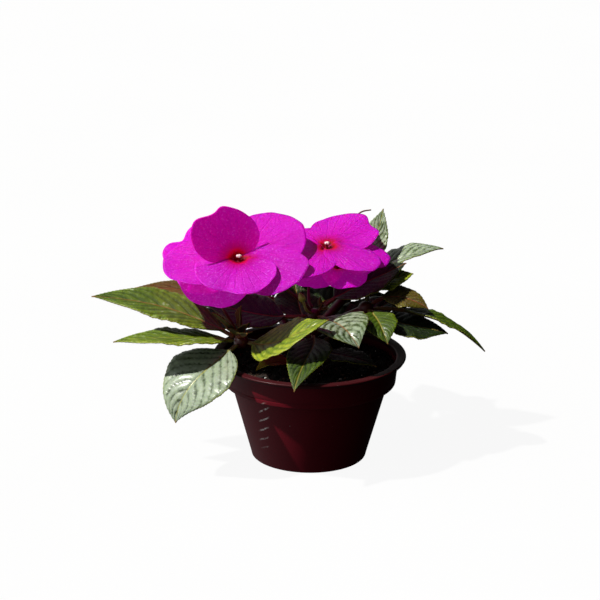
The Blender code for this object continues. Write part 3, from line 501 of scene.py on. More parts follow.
def petal_skin():
    """A magenta petal: crimson at the throat, fine veins that fan out, painted sparkle on its cells, a
    painted pale sheen and a painted glow.
    """
    f = Finish("petal_skin", Specular_IOR_Level=0.10, Subsurface_Weight=0.9, Subsurface_Scale=0.0018,
               Emission_Strength=1.0)
    f.shader.inputs["Subsurface Radius"].default_value = (1.0, 0.03, 0.50)
    fan, out, tone = f.split(f.attribute("petal", "Vector"))
    upper = f.attribute("upper")
    place = f.place()
    cloud = f.noise(place, 110.0, 3.0)
    wander = f.noise(place, 260.0, 2.0)
    cell = f.noise(place, 850.0, 3.0, 0.65)
    line = abs((fan * 22.0 + 1.1 * (wander - 0.5)).sine())
    vein = f.step(line, 0.0, 0.34, 1.0, 0.0) * f.step(out, 0.10, 0.25) * f.step(out, 0.70, 1.0, 1.0, 0.2)
    colour = f.ramp(out + 0.03 * (cloud - 0.5), (
        (0.0, (0.060, 0.000, 0.001)),
        (0.10, (0.160, 0.000, 0.002)),
        (0.15, (0.420, 0.000, 0.020)),
        (0.22, (0.380, 0.000, 0.160)),
        (0.36, (0.430, 0.000, 0.330)),
        (1.0, (0.440, 0.000, 0.370))))
    # Painted pale sheen towards the rim, stronger on paler blooms.
    painted_sheen = f.step(out, 0.20, 0.65) * tone * (0.35 + 0.7 * cloud)
    colour = f.mix(painted_sheen * 0.8, colour, (0.52, 0.022, 0.480))
    # Painted sparkle: pale pink glints painted on the cells, stronger on paler blooms.
    painted_sparkle = f.step(cell, 0.54, 0.70) * f.step(out, 0.15, 0.4)
    colour = f.mix(painted_sparkle * (0.08 + 0.55 * tone), colour, (0.66, 0.15, 0.72))
    colour = f.mix(f.step(cell, 0.32, 0.48, 1.0, 0.0) * 0.45, colour, (0.33, 0.000, 0.230))
    colour = f.mix(vein * 0.07, colour, (0.30, 0.000, 0.150))
    pale = f.mix(0.3, colour, (0.58, 0.020, 0.380))
    colour = f.mix(upper, pale, colour)
    height = 0.8 * cell - 0.5 * vein + 0.9 * wander
    bump = f.bump(height, 0.80, 0.45)
    return f.wear(Base_Color=colour, Roughness=0.48 + 0.14 * cell, Normal=bump,
                  # A painted glow: the petals give off light of their own colour, standing in for light that
                  # comes through them.
                  Emission_Color=f.mix(f.attribute("glow"), (0.0, 0.0, 0.0), colour))


def throat_skin():
    """The dark red funnel at a bloom's middle."""
    f = Finish("throat_skin", Specular_IOR_Level=0.4)
    cloud = f.noise(f.place(), 700.0)
    colour = f.mix(cloud, (0.12, 0.0, 0.003), (0.34, 0.002, 0.012))
    return f.wear(Base_Color=colour, Roughness=0.35 + 0.2 * cloud)


def anther_skin():
    """Powdery pinkish white anthers with red seams."""
    f = Finish("anther_skin", Subsurface_Weight=0.1, Subsurface_Scale=0.001)
    place = f.place()
    dust = f.cells(place, 3200.0)
    cloud = f.noise(place, 1200.0)
    colour = f.mix(f.step(cloud, 0.35, 0.65), (0.78, 0.42, 0.50), (0.90, 0.78, 0.76))
    return f.wear(Base_Color=colour, Roughness=0.7 + 0.1 * cloud, Normal=f.bump(dust, 0.6, 0.12))


def stem_skin():
    """A juicy red stem with green showing through and fine lengthwise streaks."""
    f = Finish("stem_skin", Specular_IOR_Level=0.5, Subsurface_Weight=0.15, Subsurface_Scale=0.002,
               Coat_Weight=0.3, Coat_Roughness=0.25)
    place = f.place()
    cloud = f.noise(place, 140.0)
    fine = f.noise(place, 1500.0)
    green = f.step(cloud + 0.15 * (fine - 0.5), 0.52, 0.72)
    colour = f.mix(fine, (0.075, 0.004, 0.005), (0.160, 0.012, 0.012))
    colour = f.mix(green * 0.4, colour, (0.09, 0.07, 0.01))
    return f.wear(Base_Color=colour, Roughness=0.34 + 0.12 * fine, Normal=f.bump(fine, 0.2, 0.2))


def bud_skin():
    """A closed bud: yellow green, flushed with magenta towards its middle."""
    f = Finish("bud_skin", Subsurface_Weight=0.1, Subsurface_Scale=0.002)
    place = f.place()
    cloud = f.noise(place, 300.0)
    fine = f.noise(place, 1600.0)
    colour = f.mix(f.step(cloud, 0.35, 0.65), (0.40, 0.36, 0.03), (0.55, 0.42, 0.16))
    colour = f.mix(f.step(fine, 0.55, 0.8) * 0.6, colour, (0.42, 0.03, 0.10))
    return f.wear(Base_Color=colour, Roughness=0.42 + 0.1 * fine, Normal=f.bump(fine, 0.25, 0.2))


def withered_skin():
    """A dry amber leaf with a yellow tip."""
    f = Finish("withered_skin", Subsurface_Weight=0.1, Subsurface_Scale=0.002)
    along, from_rib = f.split(f.attribute("blade", "Vector"))[1:]
    cloud = f.noise(f.place(), 260.0, 4.0)
    colour = f.mix(cloud, (0.20, 0.055, 0.006), (0.56, 0.20, 0.02))
    colour = f.mix(f.step(along, 0.62, 0.8), colour, (0.74, 0.62, 0.03))
    colour = f.mix(f.step(from_rib, 0.2, 0.6, 0.6, 0.0), colour, (0.16, 0.04, 0.006))
    return f.wear(Base_Color=colour, Roughness=0.5 + 0.2 * cloud, Normal=f.bump(cloud, 0.5, 0.5))


def pot_plastic():
    """Burgundy plastic: faint scuffs, a column of dried water marks at the front, and painted shade on the
    lip and the top of the inside.
    """
    f = Finish("pot_plastic", Specular_IOR_Level=0.10, Coat_Roughness=0.2)
    place = f.place()
    x, y, z = f.split(place)
    cloud = f.noise(place, 28.0, 4.0, 0.6)
    grain = f.noise(place, 2400.0, 2.0)
    drawn_out = f.node("ShaderNodeMapping", {"Vector": place, "Scale": (1.0, 1.0, 0.16)})
    scuff = f.noise(drawn_out, 330.0, 4.0, 0.7)
    colour = f.mix(cloud, (0.100, 0.0030, 0.008), (0.140, 0.005, 0.013))
    colour = f.mix(f.step(scuff, 0.62, 0.80) * 0.14, colour, (0.20, 0.06, 0.07))
    front = f.step(y, -0.030, -0.020, 1.0, 0.0)
    column = f.step(abs(x + 0.0242 + 0.0016 * (cloud - 0.5)), 0.0010, 0.0032, 1.0, 0.0)
    span = f.step(z, 0.009, 0.014) * f.step(z, 0.040, 0.045, 1.0, 0.0)
    slant = ((z - 0.8 * x) * 160.0 + 0.9 * cloud).fraction()
    stroke = f.step(abs(slant - 0.5), 0.02, 0.14, 1.0, 0.0)
    drops = f.noise(place, 520.0, 3.0, 0.65)
    marks = front * column * span * stroke * f.step(drops, 0.36, 0.52)
    stray = front * f.step(f.noise(place, 430.0, 2.0, 0.8), 0.735, 0.77)
    white = marks.most(stray * 0.5)
    colour = f.mix(white, colour, (0.70, 0.62, 0.60))
    # Painted shade: darker from about 55 mm up, over the lip and the top of the inside wall.
    colour = f.mix(f.step(z, 0.0545, 0.0560) * 0.75, colour, (0.022, 0.006, 0.006))
    return f.wear(Base_Color=colour, Roughness=0.30 + 0.16 * cloud + 0.10 * scuff + 0.3 * white,
                  Coat_Weight=0.05 - 0.04 * white, Normal=f.bump(0.6 * grain + 0.6 * scuff, 0.10, 0.15))


def soil_mix():
    """Damp dark potting mix."""
    f = Finish("soil_mix", Specular_IOR_Level=0.3)
    place = f.place()
    cloud = f.noise(place, 240.0, 4.0)
    clod = f.noise(place, 1300.0, 4.0, 0.65)
    colour = f.ramp(cloud * 0.5 + clod * 0.5, (
        (0.30, (0.004, 0.003, 0.002)),
        (0.52, (0.016, 0.010, 0.007)),
        (0.75, (0.055, 0.032, 0.020))))
    return f.wear(Base_Color=colour, Roughness=0.7 + 0.25 * clod, Normal=f.bump(clod, 0.9, 0.8))


def crumb_mix():
    """Crumbs of peat and bark, each of its own brown."""
    f = Finish("crumb_mix", Specular_IOR_Level=0.3)
    own = f.attribute("own_tone")
    clod = f.noise(f.place(), 1800.0, 3.0)
    colour = f.ramp(own, (
        (0.0, (0.004, 0.003, 0.002)),
        (0.6, (0.018, 0.010, 0.007)),
        (0.85, (0.050, 0.026, 0.014)),
        (1.0, (0.120, 0.062, 0.034))))
    return f.wear(Base_Color=colour, Roughness=0.65 + 0.3 * clod, Normal=f.bump(clod, 0.7, 0.4))


def grain_white():
    """White volcanic grains, pitted."""
    f = Finish("grain_white", Subsurface_Weight=0.05, Subsurface_Scale=0.001)
    place = f.place()
    pits = f.noise(place, 2600.0, 3.0)
    colour = f.mix(f.step(pits, 0.4, 0.7), (0.42, 0.38, 0.34), (0.80, 0.78, 0.74))
    return f.wear(Base_Color=colour, Roughness=0.75 + 0.2 * pits, Normal=f.bump(pits, 0.8, 0.3))


def floor_paint():
    f = Finish("floor_paint", Specular_IOR_Level=0.0, Roughness=1.0, Emission_Strength=0.94)
    cloud = f.noise(f.place(), 3.0)
    return f.wear(Base_Color=f.mix(cloud, (0.040, 0.040, 0.040), (0.045, 0.045, 0.045)),
                  Emission_Color=f.mix(cloud, (0.98, 0.98, 0.98), (1.0, 1.0, 1.0)))


def direction(azimuth, elevation):
    a = math.radians(azimuth)
    e = math.radians(elevation)
    return np.array((math.cos(a) * math.cos(e), math.sin(a) * math.cos(e), math.sin(e)))


def unit(v):
    return v / np.linalg.norm(v)


def turn(v, axis, angle):
    """v turned about a unit axis it stands square to."""
    return v * math.cos(angle) + np.cross(axis, v) * math.sin(angle)


def bezier(p0, p1, p2, p3, s):
    r = 1.0 - s
    return r ** 3 * p0 + 3 * r * r * s * p1 + 3 * r * s * s * p2 + s ** 3 * p3


def smooth_path(points, per_span):
    """Points of a smooth curve through the given ones."""
    given = [np.array(p, float) for p in points]
    ends = [2 * given[0] - given[1]] + given + [2 * given[-1] - given[-2]]
    path = []
    for i in range(1, len(ends) - 2):
        p0, p1, p2, p3 = ends[i - 1], ends[i], ends[i + 1], ends[i + 2]
        for k in range(per_span):
            t = k / per_span
            path.append(0.5 * (2 * p1 + (p2 - p0) * t + (2 * p0 - 5 * p1 + 4 * p2 - p3) * t * t
                               + (3 * p1 - 3 * p2 + p3 - p0) * t ** 3))
    path.append(given[-1])
    return np.array(path)


def smooth_step(x, low, high):
    t = np.clip((x - low) / (high - low), 0.0, 1.0)
    return t * t * (3.0 - 2.0 * t)


class Shells:
    """Closed shells gathered into one mesh, with values at their points."""

    def __init__(self):
        self.points = []
        self.faces = []
        self.values = {}
        self.count = 0

    def add(self, points, faces, **values):
        points = np.asarray(points, float).reshape(-1, 3)
        self.points.append(points)
        self.faces += [tuple(i + self.count for i in face) for face in faces]
        for name, value in values.items():
            self.values.setdefault(name, []).append(np.asarray(value, float))
        self.count += len(points)

    def sheet(self, top, bottom, **values):
        """A closed shell between two grids of points, joined round their edges."""
        rows, columns = top.shape[:2]
        size = rows * columns
        grid = np.arange(size).reshape(rows, columns)
        faces = []
        for i in range(rows - 1):
            for j in range(columns - 1):
                a, b, c, d = grid[i, j], grid[i, j + 1], grid[i + 1, j + 1], grid[i + 1, j]
                faces.append((a, d, c, b))
                faces.append((a + size, b + size, c + size, d + size))
        edge = (list(grid[0, :]) + list(grid[1:, -1]) + list(grid[-1, -2::-1]) + list(grid[-2:0:-1, 0]))
        for a, b in zip(edge, edge[1:] + edge[:1]):
            faces.append((a, b, b + size, a + size))
        both = {}
        for name, value in values.items():
            flat = value.reshape(size, -1)
            both[name] = np.concatenate((flat, flat))
        both["upper"] = np.concatenate((np.ones(size), np.zeros(size)))
        self.add(np.concatenate((top.reshape(-1, 3), bottom.reshape(-1, 3))), faces, **both)

    def finish(self, name, material):
        mesh = bpy.data.meshes.new(name)
        mesh.from_pydata([tuple(p) for p in np.concatenate(self.points) * MM], [], self.faces)
        for key, parts in self.values.items():
            value = np.concatenate([p.reshape(len(p), -1) for p in parts])
            kind = "FLOAT_VECTOR" if value.shape[1] == 3 else "FLOAT"
            layer = mesh.attributes.new(key, kind, "POINT")
            layer.data.foreach_set("vector" if kind == "FLOAT_VECTOR" else "value",
                                   value.astype(np.float32).ravel())
        mesh.shade_smooth()
        mesh.materials.append(material)
        thing = bpy.data.objects.new(name, mesh)
        bpy.context.scene.collection.objects.link(thing)
        turn_outwards(mesh)
        return thing


def turn_outwards(mesh):
    work = bmesh.new()
    work.from_mesh(mesh)
    bmesh.ops.recalc_face_normals(work, faces=work.faces)
    work.to_mesh(mesh)
    work.free()


def leaf_spine(base, leave, tip, arrive):
    reach = np.linalg.norm(tip - base) * 0.38
    return base, base + leave * reach, tip - arrive * reach, tip


def leaf_frames(spine, roll, count=40):
    """Places, tangents and normals along a midrib, the normals carried along without needless turning."""
    places = np.array([bezier(*spine, i / count) for i in range(count + 1)])
    tangents = np.gradient(places, axis=0)
    tangents /= np.linalg.norm(tangents, axis=1)[:, None]
    up = np.array((0.0, 0.0, 1.0))
    normal = unit(up - tangents[0] * tangents[0][2])
    normals = []
    for i, tangent in enumerate(tangents):
        normal = unit(normal - tangent * float(normal @ tangent))
        angle = math.radians(roll[0] + (roll[1] - roll[0]) * i / count)
        normals.append(turn(normal, tangent, angle))
    return places, tangents, np.array(normals)


def frames_at(frames, s):
    """Places, tangents and normals at the shares s of a midrib."""
    own = np.linspace(0.0, 1.0, len(frames[0]))
    place, tangent, normal = (np.stack([np.interp(s, own, part[:, k]) for k in range(3)], axis=1)
                              for part in frames)
    tangent /= np.linalg.norm(tangent, axis=1)[:, None]
    normal -= tangent * (normal * tangent).sum(axis=1)[:, None]
    normal /= np.linalg.norm(normal, axis=1)[:, None]
    return place, tangent, normal


def blade_outline(t):
    """Half width of a blade as a share of its widest, t from its foot to its drawn-out tip."""
    t = np.clip(t, 0.0, 1.0)
    peak = OUTLINE_FOOT / (OUTLINE_FOOT + OUTLINE_TIP)
    widest = peak ** OUTLINE_FOOT * (1.0 - peak) ** OUTLINE_TIP
    return t ** OUTLINE_FOOT * (1.0 - t) ** OUTLINE_TIP / widest


def add_leaf(shells, spine, roll, width, fold, petiole, tint, phase, size=1.0, columns=BLADE_COLUMNS,
             pitch=TOOTH_PITCH, quilt=QUILT, wave=0.6):
    """A leaf's closed shell: rounded petiole, quilted blade and toothed rim."""
    frames = leaf_frames(spine, roll)
    length = np.linalg.norm(np.diff(frames[0], axis=0), axis=1).sum()
    teeth = max(5, round(length * (1.0 - petiole) / pitch))
    t = np.array([(k + f) / teeth for k in range(teeth) for f in TOOTH_STEPS] + [1.0])
    tooth = np.array([1.0 - f for k in range(teeth) for f in TOOTH_STEPS] + [0.0])
    stalk = np.linspace(0.0, petiole, STALK_ROWS)[:-1]
    s = np.concatenate((stalk, petiole + (1.0 - petiole) * t))
    tooth = np.concatenate((np.zeros(len(stalk)), tooth))
    along = (s - petiole) / (1.0 - petiole)
    t = np.clip(along, 0.0, 1.0)
    place, tangent, normal = frames_at(frames, s)
    side = np.cross(tangent, normal)
    petiole_half = PETIOLE_HALF_WIDTH * size
    outline = 0.5 * width * blade_outline(t)
    half = np.maximum(np.where(along > 0.0, petiole_half * (1.0 - t), petiole_half), outline)
    half = np.maximum(half, LEAST_HALF_WIDTH)
    x = np.linspace(-1.0, 1.0, 2 * columns + 1)
    v = np.sign(x) * np.abs(x) ** 1.5
    depth = TOOTH_DEPTH * size * tooth * smooth_step(t, 0.02, 0.12)
    depth = np.minimum(depth, 0.25 * half)
    u = v[None, :] * half[:, None] - np.sign(v)[None, :] * depth[:, None] * np.abs(v)[None, :] ** 6
    far = np.abs(u)
    spread = far / (0.5 * width)
    tan_fold = math.tan(math.radians(fold))
    lift = far * tan_fold * (1.0 - 0.45 * spread)
    sway = np.sin(19.0 * s[:, None] + phase + 1.7 * (v[None, :] > 0))
    lift += wave * size * spread * spread * sway
    millimetres = s * length
    ripple = np.sin(2.0 * np.pi * millimetres[:, None] / RIPPLE_PITCH + phase)
    lift += RIM_RIPPLE * size * spread ** 4 * ripple
    bent = t[:, None] - VEIN_SWEEP * np.abs(v)[None, :] - VEIN_CURVE * v[None, :] ** 2
    ridge = np.abs(np.mod(bent * VEINS + 8.0, 1.0) - 0.5) * 2.0
    on_blade = smooth_step(t, 0.0, 0.10)[:, None]
    puff = (1.0 - ridge ** 3.0) * np.sin(np.pi * np.clip(np.abs(v)[None, :], 0.0, 1.0)) ** 0.6
    lift += quilt * (puff - 0.4) * on_blade * np.clip(half / 6.0, 0.0, 1.0)[:, None]
    groove = GROOVE_DEPTH * size * np.exp(-(far / (GROOVE_HALF_WIDTH * size)) ** 2)
    groove = groove * on_blade * (1.0 - 0.6 * t[:, None])
    rounded = np.sqrt(np.clip(1.0 - v[None, :] ** 2, 0.0, 1.0))
    stalk_top = PETIOLE_HALF_DEPTH * size * (0.85 * rounded - 0.35 * np.exp(-(v[None, :] / 0.4) ** 2)) + 0.1
    rib_half = petiole_half * (1.0 - 0.7 * t)[:, None]
    rib_depth = PETIOLE_HALF_DEPTH * size * (1.0 - 0.72 * smooth_step(t, 0.0, 0.75))[:, None]
    rib = rib_depth * np.sqrt(np.clip(1.0 - (far / rib_half) ** 2, 0.0, 1.0))
    sheet = BLADE_HALF_THICKNESS * size ** 0.5
    ends = np.clip(millimetres / (0.8 * size), 0.25, 1.0)[:, None]
    above = ((1.0 - on_blade) * stalk_top + on_blade * sheet - groove) * ends
    below = (sheet * on_blade + 0.1 + rib) * ends
    scale = 1.0 / math.sqrt(1.0 + tan_fold ** 2)
    middle = place[:, None, :] + side[:, None, :] * (u * scale)[:, :, None]
    top = middle + normal[:, None, :] * (lift + above)[:, :, None]
    bottom = middle + normal[:, None, :] * (lift - below)[:, :, None]
    blade = np.stack(np.broadcast_arrays(v[None, :], along[:, None], far), axis=2)
    colours = np.broadcast_to(np.array(tint, float), blade.shape)
    shells.sheet(top, bottom, blade=blade, tint=colours)


def knot_seat(knot, way, extra=GAP):
    """Where a piece that leaves a knot in the given way starts, just clear of it."""
    centre, radius = KNOTS[knot]
    return np.array(centre) + way * (radius + extra)


def make_leaf(leaf, phase, skin):
    leave = direction(*leaf.leave)
    spine = leaf_spine(knot_seat(leaf.knot, leave), leave, np.array(leaf.tip, float), direction(*leaf.arrive))
    shells = Shells()
    add_leaf(shells, spine, leaf.roll, leaf.width, leaf.fold, leaf.petiole,
             (leaf.tone, leaf.red, leaf.silver), phase)
    return shells.finish(leaf.name, skin)


def make_shoot_tip(knot, azimuth, elevation, size, skin):
    """The young leaves round a growing point."""
    way = direction(azimuth, elevation)
    core = knot_seat(knot, way, GAP + YOUNG_CORE * size)
    aside = unit(np.cross(way, (0.3, 1.0, 0.2)))
    shells = Shells()
    for k in range(YOUNG_LEAVES):
        outward = turn(aside, way, math.radians(YOUNG_TURN * k))
        length = (YOUNG_LENGTH - YOUNG_LENGTH_STEP * k) * size
        start = unit(way + outward * 0.9)
        base = core + start * 0.4
        tip = base + unit(way + outward * (YOUNG_LEAN - YOUNG_LEAN_STEP * k)) * length
        spine = leaf_spine(base, start, tip, unit(way + outward * 0.4))
        add_leaf(shells, spine, (0, 0), YOUNG_WIDTH * size, YOUNG_FOLD, YOUNG_PETIOLE, YOUNG_TINT, k * 1.7,
                 0.5 * size, columns=7, pitch=1.4, quilt=0.12, wave=0.2)
    points, faces = ball_points(core, YOUNG_CORE * size, 14, 10)
    place = np.tile((0.0, -0.1, 0.0), (len(points), 1))
    tint = np.tile(CORE_TINT, (len(points), 1))
    shells.add(points, faces, blade=place, tint=tint, upper=np.ones(len(points)))
    return shells.finish(f"shoot_tip_{knot}", skin)


def ball_points(centre, radius, segments, rings, squash=1.0):
    """Points and faces of a round body."""
    points = [np.array((0.0, 0.0, -squash))]
    for i in range(1, rings):
        lat = -math.pi / 2 + math.pi * i / rings
        for k in range(segments):
            lon = 2 * math.pi * k / segments
            points.append(np.array((math.cos(lat) * math.cos(lon), math.cos(lat) * math.sin(lon),
                                    squash * math.sin(lat))))
    points.append(np.array((0.0, 0.0, squash)))
    faces = [(0, 1 + (k + 1) % segments, 1 + k) for k in range(segments)]
    for i in range(rings - 2):
        a = 1 + i * segments
        for k in range(segments):
            m = (k + 1) % segments
            faces.append((a + k, a + m, a + segments + m, a + segments + k))
    last = len(points) - 1
    a = 1 + (rings - 2) * segments
    faces += [(a + k, a + (k + 1) % segments, last) for k in range(segments)]
    return np.array(points) * radius + np.array(centre), faces


def bloom_frame(bloom):
    """The throat, and the right, upper and outward directions of the bloom's plane."""
    facing = direction(*bloom.facing)
    right = unit(np.cross((0.0, 1.0, 0.0), facing))
    return np.array(bloom.throat), right, np.cross(facing, right), facing


def add_petal(shells, bloom, petal, phase):
    """A petal's closed shell: heart-shaped, ribbed along its veins, ruffled at its rim."""
    centre, right, upper, up = bloom_frame(bloom)
    azimuth = math.radians(petal.azimuth)
    out = right * math.cos(azimuth) + upper * math.sin(azimuth)
    side = upper * math.cos(azimuth) - right * math.sin(azimuth)
    half_angle = math.radians(PETAL_HALF_ANGLE)
    fan = np.linspace(-1.0, 1.0, PETAL_SECTORS + 1)[None, :]
    angle = fan * half_angle
    ring = np.linspace(0.0, 1.0, PETAL_RINGS + 1)[:, None] ** PETAL_RING_CROWDING
    rim = petal.length * np.cos(angle * 90.0 / PETAL_END_ANGLE) ** petal.spread
    rim = rim * (1.0 - petal.notch * np.exp(-((angle - petal.lean) / NOTCH_WIDTH) ** 2))
    rim = rim * (1.0 - UPRIGHT_TRIM * math.sin(math.radians(petal.rise)))
    rim = rim * (1.0 + RIM_WAVE * np.sin(9.0 * angle + phase)
                 + RIM_WAVE * np.sin(21.0 * angle + 2.0 * phase))
    reach = PETAL_FOOT + (rim - PETAL_FOOT) * ring
    along = reach * np.cos(angle)
    across = reach * np.sin(angle) * np.where(angle > 0.0, petal.left, petal.right)
    share = along / petal.length
    rise = math.radians(petal.rise)
    bend = math.radians(petal.bend)
    tilt = rise + 0.5 * bend * share
    way = out * np.cos(tilt)[:, :, None] + up * np.sin(tilt)[:, :, None]
    lean = rise + bend * share
    normal = up * np.cos(lean)[:, :, None] - out * np.sin(lean)[:, :, None]
    roll = math.radians(petal.roll) * np.clip(share * 1.6, 0.0, 1.0)
    tilted_side = side * np.cos(roll)[:, :, None] + normal * np.sin(roll)[:, :, None]
    tilted_normal = normal * np.cos(roll)[:, :, None] - side * np.sin(roll)[:, :, None]
    spread = across / (0.6 * petal.length)
    height = petal.cup * spread * spread + petal.layer * (0.6 + 0.9 * share)
    height = height + PETAL_SWAY * share * np.sin(7.0 * spread + phase)
    height = height + PETAL_RUFFLE * ring ** 4 * np.sin(11.0 * angle + 2.3 * phase)
    height = height - PETAL_VEIN_DEPTH * np.abs(np.sin(13.0 * fan)) * ring * (1.0 - ring)
    height = height - FUNNEL_DEPTH * np.exp(-(reach / FUNNEL_RADIUS) ** 2)
    across = across + petal.swing * share * share
    middle = centre + way * along[:, :, None] + tilted_side * across[:, :, None]
    thick = PETAL_HALF_THICKNESS * (1.15 - 0.5 * ring)
    top = middle + tilted_normal * (height + thick)[:, :, None]
    bottom = middle + tilted_normal * (height - thick)[:, :, None]
    # The tone with painted light: a painted pale sheen that grows with the petal's layer in its bloom.
    tone = bloom.tone * min(1.0, max(0.3, PALE_SHARE + PALE_GAIN * petal.layer))
    values = np.stack(np.broadcast_arrays(fan, reach / petal.length, tone), axis=2)
    # Painted glow: the bloom's own, more for an upright petal.
    glow = np.full(reach.shape, bloom.glow + UPRIGHT_PAINTED_GLOW * math.sin(rise))
    shells.sheet(top, bottom, petal=values, glow=glow)


def make_petals(bloom, phase, skin):
    shells = Shells()
    for k, petal in enumerate(bloom.petals):
        add_petal(shells, bloom, petal, phase + k)
    return shells.finish(f"{bloom.name}_petals", skin)


def turn_to(thing, facing, place):
    """Turns a mesh made round +Z so that it looks along facing, and puts it in its place."""
    turned = Vector(facing).to_track_quat("Z", "Y").to_matrix().to_4x4()
    thing.data.transform(Matrix.Translation(Vector(place) * MM) @ turned)


def make_anthers(bloom, skin):
    """The cap of five joined anthers."""
    shells = Shells()
    points, faces = ball_points((0.0, 0.0, 0.0), 1.0, 40, 20)
    round_it = ANTHER_LOBES * np.arctan2(points[:, 1], points[:, 0])
    lobe = 1.0 + 0.16 * np.cos(round_it) * (1.0 - points[:, 2] ** 2)
    points[:, 0] *= lobe * 1.25
    points[:, 1] *= lobe
    points[:, 2] = points[:, 2] * 0.8 - 0.25 * np.exp(-(points[:, 0] ** 2 + points[:, 1] ** 2) / 0.08)
    shells.add(points * ANTHER_RADIUS, faces)
    thing = shells.finish(f"{bloom.name}_anthers", skin)
    facing = direction(*bloom.facing)
    turn_to(thing, facing, np.array(bloom.throat) + facing * ANTHER_SEAT)
    return thing


def make_throat(bloom, skin):
    """The small dark funnel that the petals meet in, with the short column that carries the anthers."""
    shells = Shells()
    points, faces = ball_points((0.0, 0.0, 0.0), THROAT_RADIUS, 24, 14, squash=0.9)
    shells.add(points, faces)
    sunk = THROAT_DEPTH + THROAT_SINK
    column = ((0, 0, 0), (0, 0, sunk), (0, 0, sunk + ANTHER_SEAT - 0.5))
    shells.add(*rod_mesh(column, COLUMN_RADII, 4, 14))
    thing = shells.finish(f"{bloom.name}_throat", skin)
    facing = direction(*bloom.facing)
    turn_to(thing, facing, np.array(bloom.throat) - facing * sunk)
    return thing


def rod_mesh(points, radii, per_span=8, sides=12):
    """Points and faces of a round rod with closed ends through the given points."""
    path = smooth_path(points, per_span)
    tangents = np.gradient(path, axis=0)
    tangents /= np.linalg.norm(tangents, axis=1)[:, None]
    helper = np.array((0.0, 0.0, 1.0)) if abs(tangents[0][2]) < 0.9 else np.array((1.0, 0.0, 0.0))
    normal = unit(np.cross(tangents[0], helper))
    rings = []
    for i, (p, t) in enumerate(zip(path, tangents)):
        normal = unit(normal - t * float(normal @ t))
        other = np.cross(t, normal)
        radius = np.interp(i / (len(path) - 1), np.linspace(0, 1, len(radii)), radii)
        angles = np.arange(sides) * 2.0 * np.pi / sides
        rings.append(p + radius * (np.cos(angles)[:, None] * normal + np.sin(angles)[:, None] * other))
    points = np.concatenate(rings)
    faces = []
    for i in range(len(rings) - 1):
        for k in range(sides):
            a = i * sides + k
            b = i * sides + (k + 1) % sides
            faces.append((a, b, b + sides, a + sides))
    faces.append(tuple(range(sides))[::-1])
    last = (len(rings) - 1) * sides
    faces.append(tuple(range(last, last + sides)))
    return points, faces


def fuse(thing, voxel, smoothing):
    """One smooth skin over a mesh of rods and balls that run into each other."""
    remesh = thing.modifiers.new("skin", "REMESH")
    remesh.mode = "VOXEL"
    remesh.voxel_size = voxel * MM
    remesh.use_smooth_shade = True
    soften = thing.modifiers.new("soften", "SMOOTH")
    soften.factor = 0.5
    soften.iterations = smoothing
    material = thing.data.materials[0]
    used_up(thing)
    thing.data.materials.clear()
    thing.data.materials.append(material)
    thing.data.shade_smooth()
    return thing


def make_stem(skin):
    """The main stem from its foot in the soil, its branches, and the swollen knots that they meet in."""
    shells = Shells()
    shells.add(*rod_mesh((*TRUNK_FOOT, KNOTS["low"][0]), TRUNK_RADII, sides=20))
    for start, end, between in BRANCHES:
        path = (KNOTS[start][0], *between, KNOTS[end][0])
        shells.add(*rod_mesh(path, BRANCH_RADII, sides=20))
    for centre, radius in KNOTS.values():
        shells.add(*ball_points(centre, radius, 20, 12))
    return fuse(shells.finish("branched_stem", skin), STEM_VOXEL, 6)


def make_pedicel(bloom, skin):
    """The flower stalk, the knob under the throat, two sepals and the thin curved spur."""
    facing = direction(*bloom.facing)
    knob = np.array(bloom.throat) - facing * (THROAT_DEPTH + THROAT_RADIUS + GAP + KNOB_RADIUS)
    stalk = [np.array(p) for p in bloom.pedicel]
    way = unit(stalk[0] - np.array(KNOTS[bloom.knot][0]))
    shells = Shells()
    path = [knot_seat(bloom.knot, way), *stalk, knob]
    shells.add(*rod_mesh(path, (1.1, PEDICEL_RADIUS, PEDICEL_RADIUS, 0.9)))
    shells.add(*ball_points(knob, KNOB_RADIUS, 16, 10))
    shells.add(*rod_mesh((knob, *bloom.spur), SPUR_RADII))
    for sign in (-1.0, 1.0):
        aside = unit(np.cross(facing, unit(stalk[-1] - knob))) * sign
        sepal = (knob, knob + aside * 2.0 - facing * 0.6, knob + aside * 3.6 + facing * 0.2)
        shells.add(*rod_mesh(sepal, SEPAL_RADII, 4, 8))
    return fuse(shells.finish(f"{bloom.name}_pedicel", skin), STALK_VOXEL, 4)


def make_bud(name, knot, points, length, skin):
    """A pointed bud on its stalk."""
    way = unit(np.array(points[0]) - np.array(KNOTS[knot][0]))
    end = np.array(points[-1])
    heading = unit(end - np.array(points[-2]))
    shells = Shells()
    shells.add(*rod_mesh((knot_seat(knot, way), *points), (0.9, 0.75)))
    steps = np.array(BUD_STEPS) * length
    radii = np.array(BUD_RADII) * length
    shells.add(*rod_mesh([end + heading * s for s in steps], radii, 6, 20))
    return fuse(shells.finish(name, skin), STALK_VOXEL, 3)


def soil_height(x, y):
    """The soil's surface: a low crown with lumps."""
    r = math.hypot(x, y) / COLLAR_TOP_RADIUS
    lumps = (math.sin(0.31 * x + 1.3) * math.cos(0.27 * y - 0.4) + 0.6 * math.sin(0.53 * y + 0.21 * x)
             + 0.5 * math.cos(0.61 * x - 0.37 * y + 2.0))
    return SOIL_EDGE_HEIGHT + SOIL_CROWN * (1.0 - r * r) + SOIL_LUMP * lumps * min(1.0, 3.0 * (1.0 - r))


